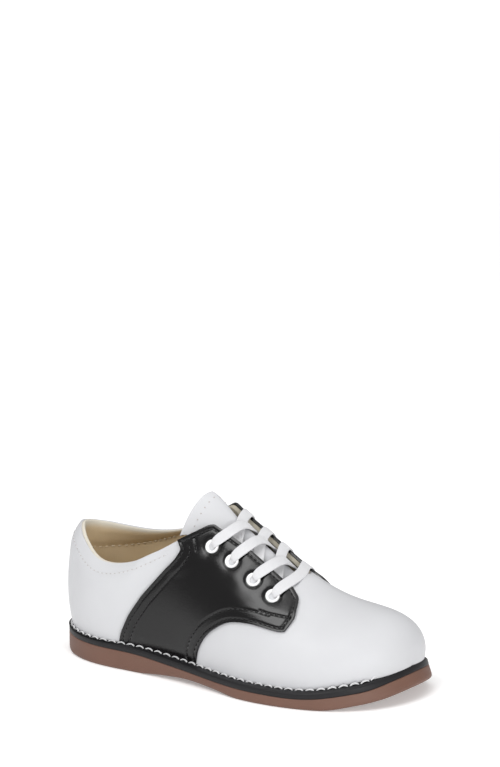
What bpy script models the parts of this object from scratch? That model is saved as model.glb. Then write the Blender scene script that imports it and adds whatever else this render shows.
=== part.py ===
"""A child's saddle oxford, right shoe: white upper, black saddle, four pairs of eyelets, flat laces and a
rubber sole.

The shoe stands on the ground z = 0 with its toe at +X, its lateral side at -Y and its origin under the
middle of its box. Every piece follows one function, last(), which gives the skin of the last at a station s
along the sole's edge, 0 at the toe's tip and 1 at the back of the heel, and at a share t of the way from
the feather line, where the upper meets the welt, to the top line. Sizes are in millimetres; meshes are in
metres.
"""

import math

import bmesh
import bpy
import numpy as np
from mathutils import Matrix, Vector

MM = 0.001
LATERAL, MEDIAL = -1, 1
SIDES = {"lateral": LATERAL, "medial": MEDIAL}


def named(columns, rows):
    """Rows of a table as dictionaries, with one entry for each named column."""
    return [dict(zip(columns, row)) for row in rows]


# Driving sizes
LENGTH = 176.0          # outsole from toe to heel
BALL_WIDTH = 70.8       # outsole at its widest, across the ball
INSTEP_HEIGHT = 84.5    # ground to the highest point of the last's ridge, over the tongue
COLLAR_BACK = 58.6      # ground to the collar at the back of the heel

# Sections of the last from toe to heel. Places along are percents of LENGTH from its middle, across
# percents of BALL_WIDTH, heights percents of INSTEP_HEIGHT. The sole columns are the outsole's edge. The
# top columns are the ridge, which parts into a ring round the ankle where top_half leaves zero. Rise and
# bulge, in millimetres, shape the lower half of a section; reach and drop shape its upper half.
SECTION_COLUMNS = ("sole_x", "sole_lat", "sole_med", "top_x", "top_mid", "top_half", "top_z",
                   "rise", "bulge", "reach_lat", "reach_med", "drop")
SECTIONS = {
    "tip":         (50.0,  13.2, 13.2,  47.6, 12.7,  0.0,  18.2, 0.55, 0.0, 0.60, 0.60, 0.00),
    "toe_front":   (48.5,  -8.5, 33.4,  47.9, 12.4,  0.0,  28.4, 0.58, 2.2, 0.50, 0.50, 0.00),
    "toe_round":   (43.5, -27.5, 48.6,  45.5, 11.7,  0.0,  38.5, 0.62, 3.4, 0.47, 0.47, 0.00),
    "toe_side":    (35.8, -41.0, 50.0,  40.3,  9.9,  0.0,  44.9, 0.62, 3.0, 0.46, 0.46, 0.00),
    "ball_front":  (26.1, -48.4, 50.0,  29.8,  6.4,  0.0,  49.8, 0.62, 2.0, 0.43, 0.35, 0.00),
    "ball":        (14.8, -50.0, 47.3,  18.8,  2.8,  0.0,  61.6, 0.54, 1.5, 0.48, 0.27, 0.00),
    "ball_back":   (3.4,  -45.6, 41.4,   6.8,  1.7,  0.0,  78.8, 0.50, 1.6, 0.55, 0.40, 0.00),
    "waist":       (-8.0, -41.0, 36.7,  -2.0,  2.1,  0.0,  91.8, 0.48, 1.8, 0.58, 0.51, 0.00),
    "waist_back":  (-15.9, -39.0, 35.6, -8.2,  1.7,  0.0, 100.0, 0.46, 2.0, 0.58, 0.58, 0.02),
    "instep_back": (-22.2, -38.1, 35.9, -12.5, 0.6, 16.2,  95.9, 0.44, 2.5, 0.15, 0.15, 0.15),
    "ankle":       (-29.0, -38.0, 37.0, -20.5, 0.0, 28.7,  81.7, 0.42, 3.2, 0.02, 0.02, 0.25),
    "heel":        (-36.4, -35.7, 35.5, -32.6, 0.0, 31.4,  75.1, 0.40, 3.8, 0.00, 0.00, 0.28),
    "heel_round":  (-44.0, -27.3, 27.3, -43.2, 0.0, 23.0,  74.6, 0.40, 5.0, 0.00, 0.00, 0.28),
    "heel_corner": (-48.6, -15.0, 15.0, -48.0, 0.0, 12.3,  75.1, 0.40, 4.9, 0.00, 0.00, 0.28),
    "back":        (-50.0,   0.0,  0.0, -49.3, 0.0,  0.0,  75.7, 0.40, 4.9, 0.00, 0.00, 0.28),
}

# Height of the collar at the sections it passes, lateral and medial, in percents of COLLAR_BACK
COLLAR = {
    "ball_back":   (147.0, 150.0),
    "waist":       (119.5, 131.5),
    "waist_back":  (104.2, 117.0),
    "instep_back": (94.8, 107.0),
    "ankle":       (85.1, 97.6),
    "heel":        (80.3, 90.8),
    "heel_round":  (92.1, 93.8),
    "heel_corner": (100.0, 97.0),
    "back":        (99.6, 99.6),
}
GAP_HALF = 10.6         # half of the throat's breadth between the two facings
CORNER_SOFT = 0.05      # share of a section over which the facing's edge rounds into the collar

# Side view of the sole: place along in percents of LENGTH, then its underside and the bed on top of it. The
# heel and the forefoot are flat on the ground, with an arch between them and a spring at the toe.
SOLE_COLUMNS = ("along", "underside", "bed")
SOLE_SIDE = (
    (-50.0, 0.9, 9.6),
    (-44.3, 0.0, 9.1),
    (-33.0, 0.0, 8.8),
    (-21.6, 0.0, 8.5),
    (-13.6, 1.3, 7.4),
    (-4.5,  2.3, 6.2),
    (4.5,   1.4, 5.2),
    (12.5,  0.0, 4.8),
    (19.3,  0.0, 4.7),
    (26.1,  0.0, 4.6),
    (34.1,  0.1, 5.4),
    (42.0,  2.4, 7.7),
    (46.4,  4.3, 9.6),
    (50.0,  7.1, 12.4),
)
SOLE_CHAMFER = 1.1      # bevel round the outsole's lower edge

# Walls and clearances
WALL = 2.2              # upper: outside leather and lining together
CLEAR = 0.3             # between pieces that lie on each other
WELT_RISE = 3.2         # from the sole's bed to the feather line
WELT_SHOW = 4.2         # bare breadth of the welt beside the forefoot
WELT_SHOW_HEEL = 1.7    # and beside the heel
WELT_UNDER = 0.6        # how far the welt runs in past the upper's wall
INSOLE_THICK = 2.6

# Saddle: its front and back edges, as stations, at shares up from the feather line to the facing's edge
SADDLE_COLUMNS = ("up", "front", "back")
SADDLE = (
    (0.000, 0.546, 0.745),
    (0.105, 0.539, 0.738),
    (0.215, 0.521, 0.730),
    (0.300, 0.496, 0.724),
    (0.378, 0.467, 0.716),
    (0.433, 0.436, 0.710),
    (0.495, 0.390, 0.703),
    (0.520, 0.350, 0.699),
    (0.550, 0.337, 0.694),
    (0.700, 0.334, 0.664),
    (0.800, 0.341, 0.639),
    (0.860, 0.346, 0.634),
    (0.930, 0.354, 0.642),
    (1.000, 0.376, 0.652),
)
TAB_BACK = 0.022        # how much further back the medial saddle's front lies, as a station
TAB_FROM, TAB_FULL = 0.2, 0.5   # shares up between which it moves back
SADDLE_OFF = 0.35       # the saddle's inner face off the upper's skin
SADDLE_THICK = 1.2

# Eyelets, counted from the toe: station on each side, and share of the way up to the facing's edge
EYELETS = named(("lateral", "medial", "up"), (
    (0.398, 0.413, 0.796),
    (0.445, 0.463, 0.797),
    (0.503, 0.508, 0.812),
    (0.565, 0.573, 0.828),
))
EYELET_HOLE = 2.1       # radius of the hole through saddle and upper
EYELET_FLANGE = 3.1     # outer radius of the ring that shows
EYELET_BARREL = 1.75    # outer radius of the tube in the hole
EYELET_BORE = 1.35
EYELET_CROWN = 0.7      # height of the flange
EYELET_RIM = 0.25       # straight part of the flange's rim
EYELET_SHOULDER = 0.5   # breadth over which the flange slopes up from its rim
EYELET_LIP = (0.4, 0.3)  # breadth and depth of the slope into the bore
HOLE_DEPTH = 10.0       # length of the tool that cuts a hole
EYELET_STEPS = 10

# Tongue: a strip of the last's skin set in below the facings, from under the vamp to its free end
TONGUE_THICK = 2.0
TONGUE_LOW = 0.55       # share t of its side edges
TONGUE = named(("station", "depth"), ((0.345, 2.75), (0.370, 2.80), (0.396, 5.20), (0.530, 5.40),
                                      (0.600, 4.70), (0.670, 4.00)))
# Its free end, a little askew: share t, and the station it reaches there on each side
TONGUE_END = named(("share", "lateral", "medial"), (
    (0.55, 0.668, 0.600),
    (0.64, 0.668, 0.603),
    (0.72, 0.666, 0.608),
    (0.80, 0.662, 0.615),
    (0.88, 0.657, 0.628),
    (0.95, 0.651, 0.640),
    (1.00, 0.646, 0.646),
))

# Laces
LACE_WIDTH = 5.6
LACE_THICK = 1.0
LACE_STEPS = 13
# One band of a crossing: which way across, 0 on its own eyelet's side and 1 on the other, share of the way
# down to the next eyelet for the lateral and for the medial band, share up to the facing's edge, and lift
BAND = named(("far", "lateral", "medial", "up", "lift"), (
    (0, 0.04, 0.01, 0.82, 3.5),
    (0, 0.16, 0.04, 0.92, 3.1),
    (0, 0.31, 0.10, 1.02, 2.7),
    (0, 0.60, 0.44, 1.36, -2.9),
    (1, 0.80, 0.72, 1.04, -3.5),
    (1, 0.88, 0.84, 0.92, -3.5),
))
CROSSING = 1.2          # past this share up, a band is over the gap, where the two cross
UNDER_BAND_DROP = 0.52  # the medial band lies this much lower there
# The bar over the lowest pair, from one eyelet to the middle
BAR = named(("up", "lift"), ((0.82, 3.5), (0.92, 3.1), (1.02, 2.7), (1.36, 1.5)))

# Fineness of the meshes
STATION_PITCH = 5.0     # along the sole's edge
UPPER_ROWS = 10         # from the feather line to the facing's edge
VAMP_ROWS = 3           # from there to the ridge
SADDLE_ROWS = 8
TONGUE_ROWS = 6
MERGE = 0.06            # points nearer than this are one, so the toe's tip is a single point
SHARP = 40              # degrees past which an edge is drawn sharp

# Finish of each material: colour as linear red, green and blue, then roughness and metallic value
FINISHES = {
    "white_leather": ((0.72, 0.72, 0.71), 0.42, 0.0),
    "black_leather": ((0.018, 0.018, 0.02), 0.38, 0.0),
    "tan_lining":    ((0.36, 0.25, 0.16), 0.7, 0.0),
    "brown_rubber":  ((0.21, 0.12, 0.085), 0.6, 0.0),
    "black_welt":    ((0.02, 0.02, 0.022), 0.5, 0.0),
    "white_cord":    ((0.78, 0.78, 0.77), 0.85, 0.0),
    "white_enamel":  ((0.75, 0.75, 0.74), 0.35, 0.0),
}


# Curves through the tables

def spline(knots, values, at, flat_end=False):
    """Smooth cubic through values at knots, with no bend at its ends, or no slope at a flat far end."""
    k = np.asarray(knots, float)
    v = np.asarray(values, float)
    h = np.diff(k)
    slope = np.diff(v)/h
    n = len(k)
    a = np.eye(n)
    b = np.zeros(n)
    for i in range(1, n-1):
        a[i, i-1:i+2] = h[i-1]/6, (h[i-1]+h[i])/3, h[i]/6
        b[i] = slope[i]-slope[i-1]
    if flat_end:
        a[-1, -2:] = h[-1]/6, h[-1]/3
        b[-1] = -slope[-1]
    m = np.linalg.solve(a, b)
    i = np.clip(np.searchsorted(k, at, side="right")-1, 0, n-2)
    u = (at-k[i])/h[i]
    w = 1-u
    return w*v[i]+u*v[i+1]+((w**3-w)*m[i]+(u**3-u)*m[i+1])*h[i]**2/6


def steady(knots, values, at):
    """Cubic that never overshoots its values: the slope at a knot is the harmonic mean of the slopes beside
    it."""
    k = np.asarray(knots, float)
    v = np.asarray(values, float)
    h = np.diff(k)
    slope = np.diff(v)/h
    both = slope[:-1]*slope[1:]
    mean = np.where(both > 0, 2*both/np.where(both > 0, slope[:-1]+slope[1:], 1), 0)
    m = np.concatenate([slope[:1], mean, slope[-1:]])
    at = np.clip(at, k[0], k[-1])
    i = np.clip(np.searchsorted(k, at, side="right")-1, 0, len(k)-2)
    u = (at-k[i])/h[i]
    w = 1-u
    return w*w*(1+2*u)*v[i]+u*u*(3-2*u)*v[i+1]+u*w*h[i]*(w*m[i]-u*m[i+1])


def unit(v):
    return v/np.maximum(np.linalg.norm(v, axis=-1, keepdims=True), 1e-12)


# The last

ALONG, ACROSS, UP = LENGTH/100, BALL_WIDTH/100, INSTEP_HEIGHT/100
UNITS = dict(zip(SECTION_COLUMNS, (ALONG, ACROSS, ACROSS, ALONG, ACROSS, ACROSS, UP, 1, 1, 1, 1, 1)))


def column(name):
    """One column of the section table, its percents turned to millimetres."""
    place = SECTION_COLUMNS.index(name)
    return UNITS[name]*np.array([row[place] for row in SECTIONS.values()])


def section_stations():
    """Station of each section: its share of the way along the sole's edge, as the mean of both sides."""
    steps = [np.hypot(np.diff(column("sole_x")), np.diff(column(c))) for c in ("sole_lat", "sole_med")]
    way = np.concatenate([[0], np.cumsum(sum(steps))])
    return way/way[-1]


STATIONS = section_stations()


def station(name):
    return STATIONS[list(SECTIONS).index(name)]


def loop(side, s):
    """Place of a station on the closed loop round the sole: lateral 0 to 1, medial 2 back to 1."""
    return np.where(np.asarray(side) < 0, s, 2-np.asarray(s, float))


def sole_curve():
    """Places, x and y of the sole's edge as one closed loop, with a few rows repeated past both ends."""
    repeat = 8
    rings = (np.concatenate([STATIONS[:-1], 2-STATIONS[:0:-1]]),
             np.concatenate([column("sole_x")[:-1], column("sole_x")[:0:-1]]),
             np.concatenate([column("sole_lat")[:-1], column("sole_med")[:0:-1]]))
    turns = (2, 0, 0)
    return [np.concatenate([r[-repeat:]-turn, r, r[:repeat]+turn]) for r, turn in zip(rings, turns)]


SOLE_PLACE, SOLE_X, SOLE_Y = sole_curve()


def sole_edge(side, s, inset=0.0):
    """Outsole's edge in plan, moved in by inset."""
    q = loop(side, s)
    edge = np.stack([spline(SOLE_PLACE, c, q) for c in (SOLE_X, SOLE_Y)], -1)
    return edge-np.asarray(inset)[..., None]*sole_outward(side, s)


def sole_outward(side, s, step=1e-3):
    """Unit vector in plan, square to the sole's edge."""
    q = loop(side, s)
    d = np.stack([spline(SOLE_PLACE, c, q+step)-spline(SOLE_PLACE, c, q-step) for c in (SOLE_X, SOLE_Y)], -1)
    return unit(np.stack([-d[..., 1], d[..., 0]], -1))


def sole_column(name):
    place = SOLE_COLUMNS.index(name)
    return np.array([row[place] for row in SOLE_SIDE])


def underside(x):
    return steady(ALONG*sole_column("along"), sole_column("underside"), x)


def bed(x):
    return spline(ALONG*sole_column("along"), sole_column("bed"), x)


def welt_show(s):
    """Bare breadth of the welt beside the upper at a station."""
    places = (0, station("waist"), station("heel"), 1)
    return steady(places, (WELT_SHOW, WELT_SHOW, WELT_SHOW_HEEL, WELT_SHOW_HEEL), s)


def feather(side, s):
    """Line where the upper's skin meets the welt."""
    xy = sole_edge(side, s, welt_show(s))
    return np.concatenate([xy, bed(xy[..., :1])+WELT_RISE], -1)


def top_line(side, s):
    """Ridge of the last from the toe to the tongue, then the ring round the ankle."""
    half = column("top_half")
    past = np.concatenate([STATIONS, 2-STATIONS[-2:-4:-1]])
    wide = steady(past, np.concatenate([half, -half[-2:-4:-1]]), s)
    x = spline(STATIONS, column("top_x"), s, flat_end=True)
    y = spline(STATIONS, column("top_mid"), s)+side*wide
    return np.stack([x, y, spline(STATIONS, column("top_z"), s, flat_end=True)], -1)


def last(side, s, t):
    """Skin of the last. A section is a cubic Bezier curve: it leaves the feather line upward, swelling out
    by bulge, and comes into the top line squarely across the foot, over reach as a share of its half
    breadth, less drop."""
    s, t = np.broadcast_arrays(np.asarray(s, float), np.asarray(t, float))
    base = feather(side, s)
    top = top_line(side, s)
    names = ("rise", "bulge", "reach_lat" if side == LATERAL else "reach_med", "drop")
    rise, bulge, reach, drop = (steady(STATIONS, column(name), s) for name in names)
    tall = top[..., 2]-base[..., 2]
    out = sole_outward(side, s)
    low = base+np.stack([bulge*out[..., 0], bulge*out[..., 1], rise*tall], -1)
    level = reach[..., None]*(base-feather(-side, s))/2
    high = top+np.stack([level[..., 0], level[..., 1], -drop*tall], -1)
    t = t[..., None]
    w = 1-t
    return w**3*base+3*w*w*t*low+3*w*t*t*high+t**3*top


def normal(side, s, t, step=2e-3):
    """Unit normal of the skin, out of the shoe, from the slopes along s and t."""
    s, t = np.broadcast_arrays(np.asarray(s, float), np.asarray(t, float))
    s0, s1 = np.clip(s-step, step/10, 1), np.clip(s+step, step/10, 1)
    t0, t1 = np.clip(t-step, 0, 1), np.clip(t+step, 0, 1)
    along = last(side, s1, t)-last(side, s0, t)
    upward = last(side, s, t1)-last(side, s, t0)
    return unit(np.cross(along, upward)*side)


def skin(side, s, t, lift):
    """Point off the skin by lift, inside the shoe where lift is negative."""
    return last(side, s, t)+np.asarray(lift)[..., None]*normal(side, s, t)


# The opening

SHARES = np.linspace(0, 1, 401)


def at_height(side, s, z):
    """Share t at which each station reaches its height z."""
    rows = np.maximum.accumulate(last(side, s[:, None], SHARES[None])[..., 2], 1)
    return np.array([np.interp(h, row, SHARES) for h, row in zip(z, rows)])


def at_half(side, s, half):
    """Share t at which each station comes within half of the throat's middle."""
    rows = side*last(side, s[:, None], SHARES[None])[..., 1]
    return np.array([np.interp(half, row[::-1], SHARES[::-1]) for row in rows])


def collar_height(side, s):
    """Height of the collar, smooth round the back of the heel from one side to the other."""
    k = np.array([station(n) for n in COLLAR])
    lateral, medial = np.array(list(COLLAR.values())).T*COLLAR_BACK/100
    places = np.concatenate([k, 2-k[-2::-1]])
    return spline(places, np.concatenate([lateral, medial[-2::-1]]), loop(side, s))


def wall_top(side, s):
    """Share t at which the side wall ends: the facing's edge, then the collar, with a round corner between.
    Ahead of the throat it is the same share as at the throat's front."""
    s = np.asarray(s, float)
    q = np.clip(s.ravel(), station("ball"), 1)
    edge = np.where(q > station("waist_back"), 1.0, at_half(side, q, GAP_HALF))
    collar = at_height(side, q, collar_height(side, np.maximum(q, station("ball_back"))))
    collar = np.where(q < station("ball_back"), 1.0+CORNER_SOFT, collar)
    d = np.clip(0.5+(collar-edge)/(2*CORNER_SOFT), 0, 1)
    return (collar*(1-d)+edge*d-CORNER_SOFT*d*(1-d)).reshape(s.shape)


def station_rows(first, final):
    """Stations from first to final about STATION_PITCH apart, with every section between them among them."""
    ends = [first, *[s for s in STATIONS if first < s < final], final]
    turn = np.hypot(np.diff(SOLE_X), np.diff(SOLE_Y)).sum()/(SOLE_PLACE[-1]-SOLE_PLACE[0])
    rows = [np.linspace(a, b, max(2, round((b-a)*turn/STATION_PITCH))+1)[:-1] for a, b in zip(ends, ends[1:])]
    return np.concatenate([*rows, [final]])


# Meshes and objects

def start():
    """An empty scene with a collection for the shoe and one for what cuts it."""
    for obj in list(bpy.data.objects):
        bpy.data.objects.remove(obj, do_unlink=True)
    made = []
    for name in ("saddle_oxford", "cutters"):
        made.append(bpy.data.collections.new(name))
        bpy.context.scene.collection.children.link(made[-1])
    return made


def finish(name):
    """Material of one finish, made once."""
    if name in bpy.data.materials:
        return bpy.data.materials[name]
    colour, rough, metal = FINISHES[name]
    material = bpy.data.materials.new(name)
    material.use_nodes = True
    shader = material.node_tree.nodes["Principled BSDF"]
    shader.inputs["Base Color"].default_value = (*colour, 1)
    shader.inputs["Roughness"].default_value = rough
    shader.inputs["Metallic"].default_value = metal
    return material


def grid_faces(points, outward):
    """Corners of a grid of points as one list, and its quads, turned over where outward is negative."""
    rows, columns = points.shape[:2]
    i = np.arange(rows*columns).reshape(rows, columns)
    quads = np.stack([i[:-1, :-1], i[1:, :-1], i[1:, 1:], i[:-1, 1:]], -1).reshape(-1, 4)
    return points.reshape(-1, 3), quads if outward > 0 else quads[:, ::-1]


def surface(name, grids, material, collection):
    """Object from grids of points, each with the sign of its outward turn, with their shared edges merged."""
    corners, quads, count = [], [], 0
    for points, outward in grids:
        c, q = grid_faces(points, outward)
        corners.append(c)
        quads.append(q+count)
        count += len(c)
    mesh = bpy.data.meshes.new(name)
    mesh.from_pydata((np.concatenate(corners)*MM).tolist(), [], np.concatenate(quads).tolist())
    bm = bmesh.new()
    bm.from_mesh(mesh)
    bmesh.ops.remove_doubles(bm, verts=bm.verts, dist=MERGE*MM)
    bmesh.ops.dissolve_degenerate(bm, edges=bm.edges, dist=MERGE*MM)
    bm.to_mesh(mesh)
    bm.free()
    mesh.materials.append(finish(material))
    mesh.shade_smooth()
    mesh.set_sharp_from_angle(angle=math.radians(SHARP))
    obj = bpy.data.objects.new(name, mesh)
    collection.objects.link(obj)
    return obj


def solidify(obj, thick, offset):
    """Wall of even thickness: offset -1 grows it inward, 1 outward and 0 both ways."""
    wall = obj.modifiers.new("wall", "SOLIDIFY")
    wall.thickness = thick*MM
    wall.offset = offset
    wall.use_even_offset = True
    wall.use_quality_normals = True


def boolean(obj, other, operation):
    cut = obj.modifiers.new(operation.lower(), "BOOLEAN")
    cut.operation = operation
    cut.solver = "EXACT"
    cut.object = other


def as_cutter(obj):
    obj.hide_render = True
    obj.display_type = "WIRE"
    return obj


# Sole, welt and insole

def ring(section):
    """Grid of a closed cross-section carried along the stations: section(side, s) gives one side's points
    from the top inward edge to the bottom inward edge, and the other side's follow in turn."""
    s = station_rows(0, 1)
    lateral, medial = section(LATERAL, s), section(MEDIAL, s)
    return np.stack([*lateral, *medial[::-1], lateral[0]], 1)


def at(xy, z):
    return np.concatenate([xy, z[..., None]], -1)


def make_outsole(shoe):
    """Rubber unit sole: flat across at each station, with a bevelled lower edge."""
    def section(side, s):
        edge = sole_edge(side, s)
        inner = sole_edge(side, s, SOLE_CHAMFER)
        low = underside(edge[..., 0])
        return [at(edge, bed(edge[..., 0])), at(edge, low+SOLE_CHAMFER), at(inner, underside(inner[..., 0]))]
    return surface("outsole", [(ring(section), 1)], "brown_rubber", shoe)


def make_insole(shoe):
    """Footbed inside the welt, on the outsole."""
    def section(side, s):
        edge = sole_edge(side, s, welt_show(s)+WALL+WELT_UNDER+CLEAR)
        low = bed(edge[..., 0])+CLEAR
        return [at(edge, low+INSOLE_THICK), at(edge, low)]
    return surface("insole", [(ring(section), 1)], "tan_lining", shoe)


def make_welt(shoe):
    """Flat ring between the outsole and the upper, flush with the outsole's edge."""
    s = station_rows(0, 1)
    grids = []
    for side in SIDES.values():
        outer = sole_edge(side, s)
        inner = sole_edge(side, s, welt_show(s)+WALL+WELT_UNDER)
        rows = [(outer, WELT_RISE-CLEAR), (outer, CLEAR), (inner, CLEAR), (inner, WELT_RISE-CLEAR)]
        points = [at(xy, bed(xy[..., 0])+rise) for xy, rise in rows]
        grids.append((np.stack([*points, points[0]], 1), -side))
    return surface("welt", grids, "black_welt", shoe)


# Upper and saddles

def make_upper(shoe):
    """Hollow wall from the feather line up: both sides to the facings' edges and the collar, and the vamp's
    top ahead of the throat."""
    s = station_rows(0, 1)
    vamp = s[s <= station("ball")]
    grids = []
    for side in SIDES.values():
        up = np.linspace(0, 1, UPPER_ROWS+1)
        grids.append((last(side, s[:, None], up[None]*wall_top(side, s)[:, None]), side))
        edge = wall_top(side, vamp)[:, None]
        over = edge+(1-edge)*np.linspace(0, 1, VAMP_ROWS+1)[None]
        grids.append((last(side, vamp[:, None], over), side))
    upper = surface("upper", grids, "white_leather", shoe)
    solidify(upper, WALL, -1)
    return upper


def saddle_column(name, up):
    places = [row[0] for row in SADDLE]
    return steady(places, [row[SADDLE_COLUMNS.index(name)] for row in SADDLE], up)


def saddle_front(side, up):
    """Station of the saddle's front edge: the table's, moved back on the medial side by a smooth step."""
    u = np.clip((up-TAB_FROM)/(TAB_FULL-TAB_FROM), 0, 1)
    return saddle_column("front", up)+(TAB_BACK*u*u*(3-2*u) if side == MEDIAL else 0)


def make_saddle(name, side, shoe):
    """Overlay cut from the upper's own skin between the saddle's front and back edges."""
    rows = [row[0] for row in SADDLE]
    up = np.concatenate([np.linspace(a, b, 3)[:-1] for a, b in zip(rows, rows[1:])]+[[1.0]])
    across = np.linspace(0, 1, SADDLE_ROWS+1)
    front, back = saddle_front(side, up), saddle_column("back", up)
    s = front[:, None]+(back-front)[:, None]*across[None]
    t = up[:, None]*wall_top(side, s)
    saddle = surface("saddle_"+name, [(skin(side, s, t, SADDLE_OFF), -side)], "black_leather", shoe)
    solidify(saddle, SADDLE_THICK, 1)
    return saddle


# Eyelets

def side_name(side):
    return "lateral" if side == LATERAL else "medial"


def eyelet_frame(side, eyelet):
    """Where an eyelet sits: its middle on the skin, with Z along the skin's normal."""
    s = np.array([eyelet[side_name(side)]])
    t = eyelet["up"]*wall_top(side, s)
    middle = last(side, s, t)[0]*MM
    turn = Vector(normal(side, s, t)[0]).to_track_quat("Z", "Y")
    return Matrix.Translation(middle) @ turn.to_matrix().to_4x4()


def eyelet_mesh():
    """Closed profile of a flanged tube, down its outer side and up its bore, for turning round Z."""
    seat = SADDLE_OFF+SADDLE_THICK+CLEAR
    foot = -WALL-CLEAR
    crown = seat+EYELET_CROWN
    breadth, depth = EYELET_LIP
    profile = ((EYELET_FLANGE-EYELET_SHOULDER, crown), (EYELET_FLANGE, seat+EYELET_RIM),
               (EYELET_FLANGE, seat), (EYELET_BARREL, seat), (EYELET_BARREL, foot), (EYELET_BORE, foot),
               (EYELET_BORE, crown-depth), (EYELET_BORE+breadth, crown))
    mesh = bpy.data.meshes.new("eyelet")
    edges = [(i, (i+1) % len(profile)) for i in range(len(profile))]
    mesh.from_pydata([(r*MM, 0, z*MM) for r, z in profile], edges, [])
    mesh.materials.append(finish("white_enamel"))
    return mesh


def make_eyelets(name, side, shoe):
    mesh = eyelet_mesh()
    for i, place in enumerate(EYELETS):
        eyelet = bpy.data.objects.new(f"eyelet_{name}_{i+1}", mesh)
        eyelet.matrix_world = eyelet_frame(side, place)
        turned = eyelet.modifiers.new("turned", "SCREW")
        turned.steps = turned.render_steps = EYELET_STEPS
        turned.use_merge_vertices = True
        turned.merge_threshold = MERGE*MM
        turned.use_smooth_shade = True
        shoe.objects.link(eyelet)


def cut_eyelet_holes(name, side, walls, cutters):
    """Round holes through the saddle and the upper, one for each eyelet of a side."""
    bm = bmesh.new()
    for place in EYELETS:
        bmesh.ops.create_cone(bm, cap_ends=True, segments=EYELET_STEPS, radius1=EYELET_HOLE*MM,
                              radius2=EYELET_HOLE*MM, depth=HOLE_DEPTH*MM, matrix=eyelet_frame(side, place))
    mesh = bpy.data.meshes.new("holes_"+name)
    bm.to_mesh(mesh)
    bm.free()
    holes = as_cutter(bpy.data.objects.new("holes_"+name, mesh))
    cutters.objects.link(holes)
    for wall in walls:
        boolean(wall, holes, "DIFFERENCE")


# Tongue and laces

def make_tongue(shoe):
    """Strip from under the vamp's edge to its free end behind the laces, wrapped over the instep below the
    facings."""
    stations, depths = zip(*[row.values() for row in TONGUE])
    first, tip = stations[0], TONGUE_END[-1]["lateral"]
    share = (station_rows(first, tip)-first)/(tip-first)
    up = np.linspace(TONGUE_LOW, 1, TONGUE_ROWS+1)
    grids = []
    for name, side in SIDES.items():
        end = steady([row["share"] for row in TONGUE_END], [row[name] for row in TONGUE_END], up)
        s = first+share[:, None]*(end-first)[None]
        grids.append((skin(side, s, up[None], -steady(stations, depths, s)), side))
    ridge = (grids[0][0][:, -1]+grids[1][0][:, -1])/2
    for points, _ in grids:
        points[:, -1] = ridge
    tongue = surface("tongue", grids, "white_leather", shoe)
    solidify(tongue, TONGUE_THICK, -1)
    return tongue


def strip(places):
    """Grid of a flat band along a smooth path through places, each a side, a station, a share t and a
    lift."""
    points = np.concatenate([skin(d, np.array([s]), np.array([t]), [lift]) for d, s, t, lift in places])
    normals = np.concatenate([normal(d, np.array([s]), np.array([t])) for d, s, t, _ in places])
    way = np.concatenate([[0], np.cumsum(np.linalg.norm(np.diff(points, axis=0), axis=1))])
    even = np.linspace(0, way[-1], LACE_STEPS)
    path = np.stack([spline(way, c, even) for c in points.T], -1)
    face = unit(np.stack([spline(way, c, even) for c in normals.T], -1))
    breadth = unit(np.cross(np.gradient(path, axis=0), face))*LACE_WIDTH/2
    return np.stack([path-breadth, path+breadth], 1)


def facing_share(side, s, up):
    """Share t at a share up to the facing's edge; past 1 it goes on over the gap, and the ridge is the
    last."""
    edge = wall_top(side, np.array([s]))[0]
    return min(up*edge, 1.0)


def lace(name, places, collection):
    band = surface(name, [(strip(places), 1)], "white_cord", collection)
    solidify(band, LACE_THICK, 0)
    return band


def make_lace_bar(shoe):
    """Straight over from one eyelet of the lowest pair to the other, its middle half way between them."""
    first = EYELETS[0]
    middle = (first["lateral"]+first["medial"])/2
    half = {}
    for name, side in SIDES.items():
        stations = [first[name]]*(len(BAR)-1)+[middle]
        half[name] = [(side, s, facing_share(side, s, row["up"]), row["lift"])
                      for s, row in zip(stations, BAR)]
    return lace("lace_bar", half["lateral"]+half["medial"][-2::-1], shoe)


def make_lace_cross(number, shoe, cutters):
    """Two bands joined where they cross, each from its eyelet, over its facing and down under the other
    facing. The lateral one lies on top."""

    def places(side, drop):
        name = side_name(side)
        above, below = EYELETS[number][name], EYELETS[number-1][side_name(-side)]
        rows = []
        for row in BAND:
            s = above+(below-above)*row[name]
            d = -side if row["far"] else side
            sunk = drop if row["up"] > CROSSING else 0
            rows.append((d, s, facing_share(d, s, row["up"]), row["lift"]-sunk))
        return rows

    top = lace(f"lace_cross_{number}", places(LATERAL, 0), shoe)
    under = as_cutter(lace(f"lace_under_{number}", places(MEDIAL, UNDER_BAND_DROP), cutters))
    boolean(top, under, "UNION")


def main():
    shoe, cutters = start()
    make_outsole(shoe)
    make_welt(shoe)
    make_insole(shoe)
    upper = make_upper(shoe)
    for name, side in SIDES.items():
        saddle = make_saddle(name, side, shoe)
        cut_eyelet_holes(name, side, (upper, saddle), cutters)
        make_eyelets(name, side, shoe)
    make_tongue(shoe)
    make_lace_bar(shoe)
    for number in range(1, len(EYELETS)):
        make_lace_cross(number, shoe, cutters)


main()
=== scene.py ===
"""Looks of a child's saddle oxford, right shoe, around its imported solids.

The toe points to +X, the lateral side to -Y, and the ground is z = 0. Every surface is worked out from one
function, last(), which gives the skin of the last at a station s along the sole's edge, 0 at the toe's tip
and 1 at the back of the heel, and at a share t of the way from the feather line, where the upper meets the
welt, to the top line. Sizes are in millimetres; meshes are in metres.
"""

import math

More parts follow.
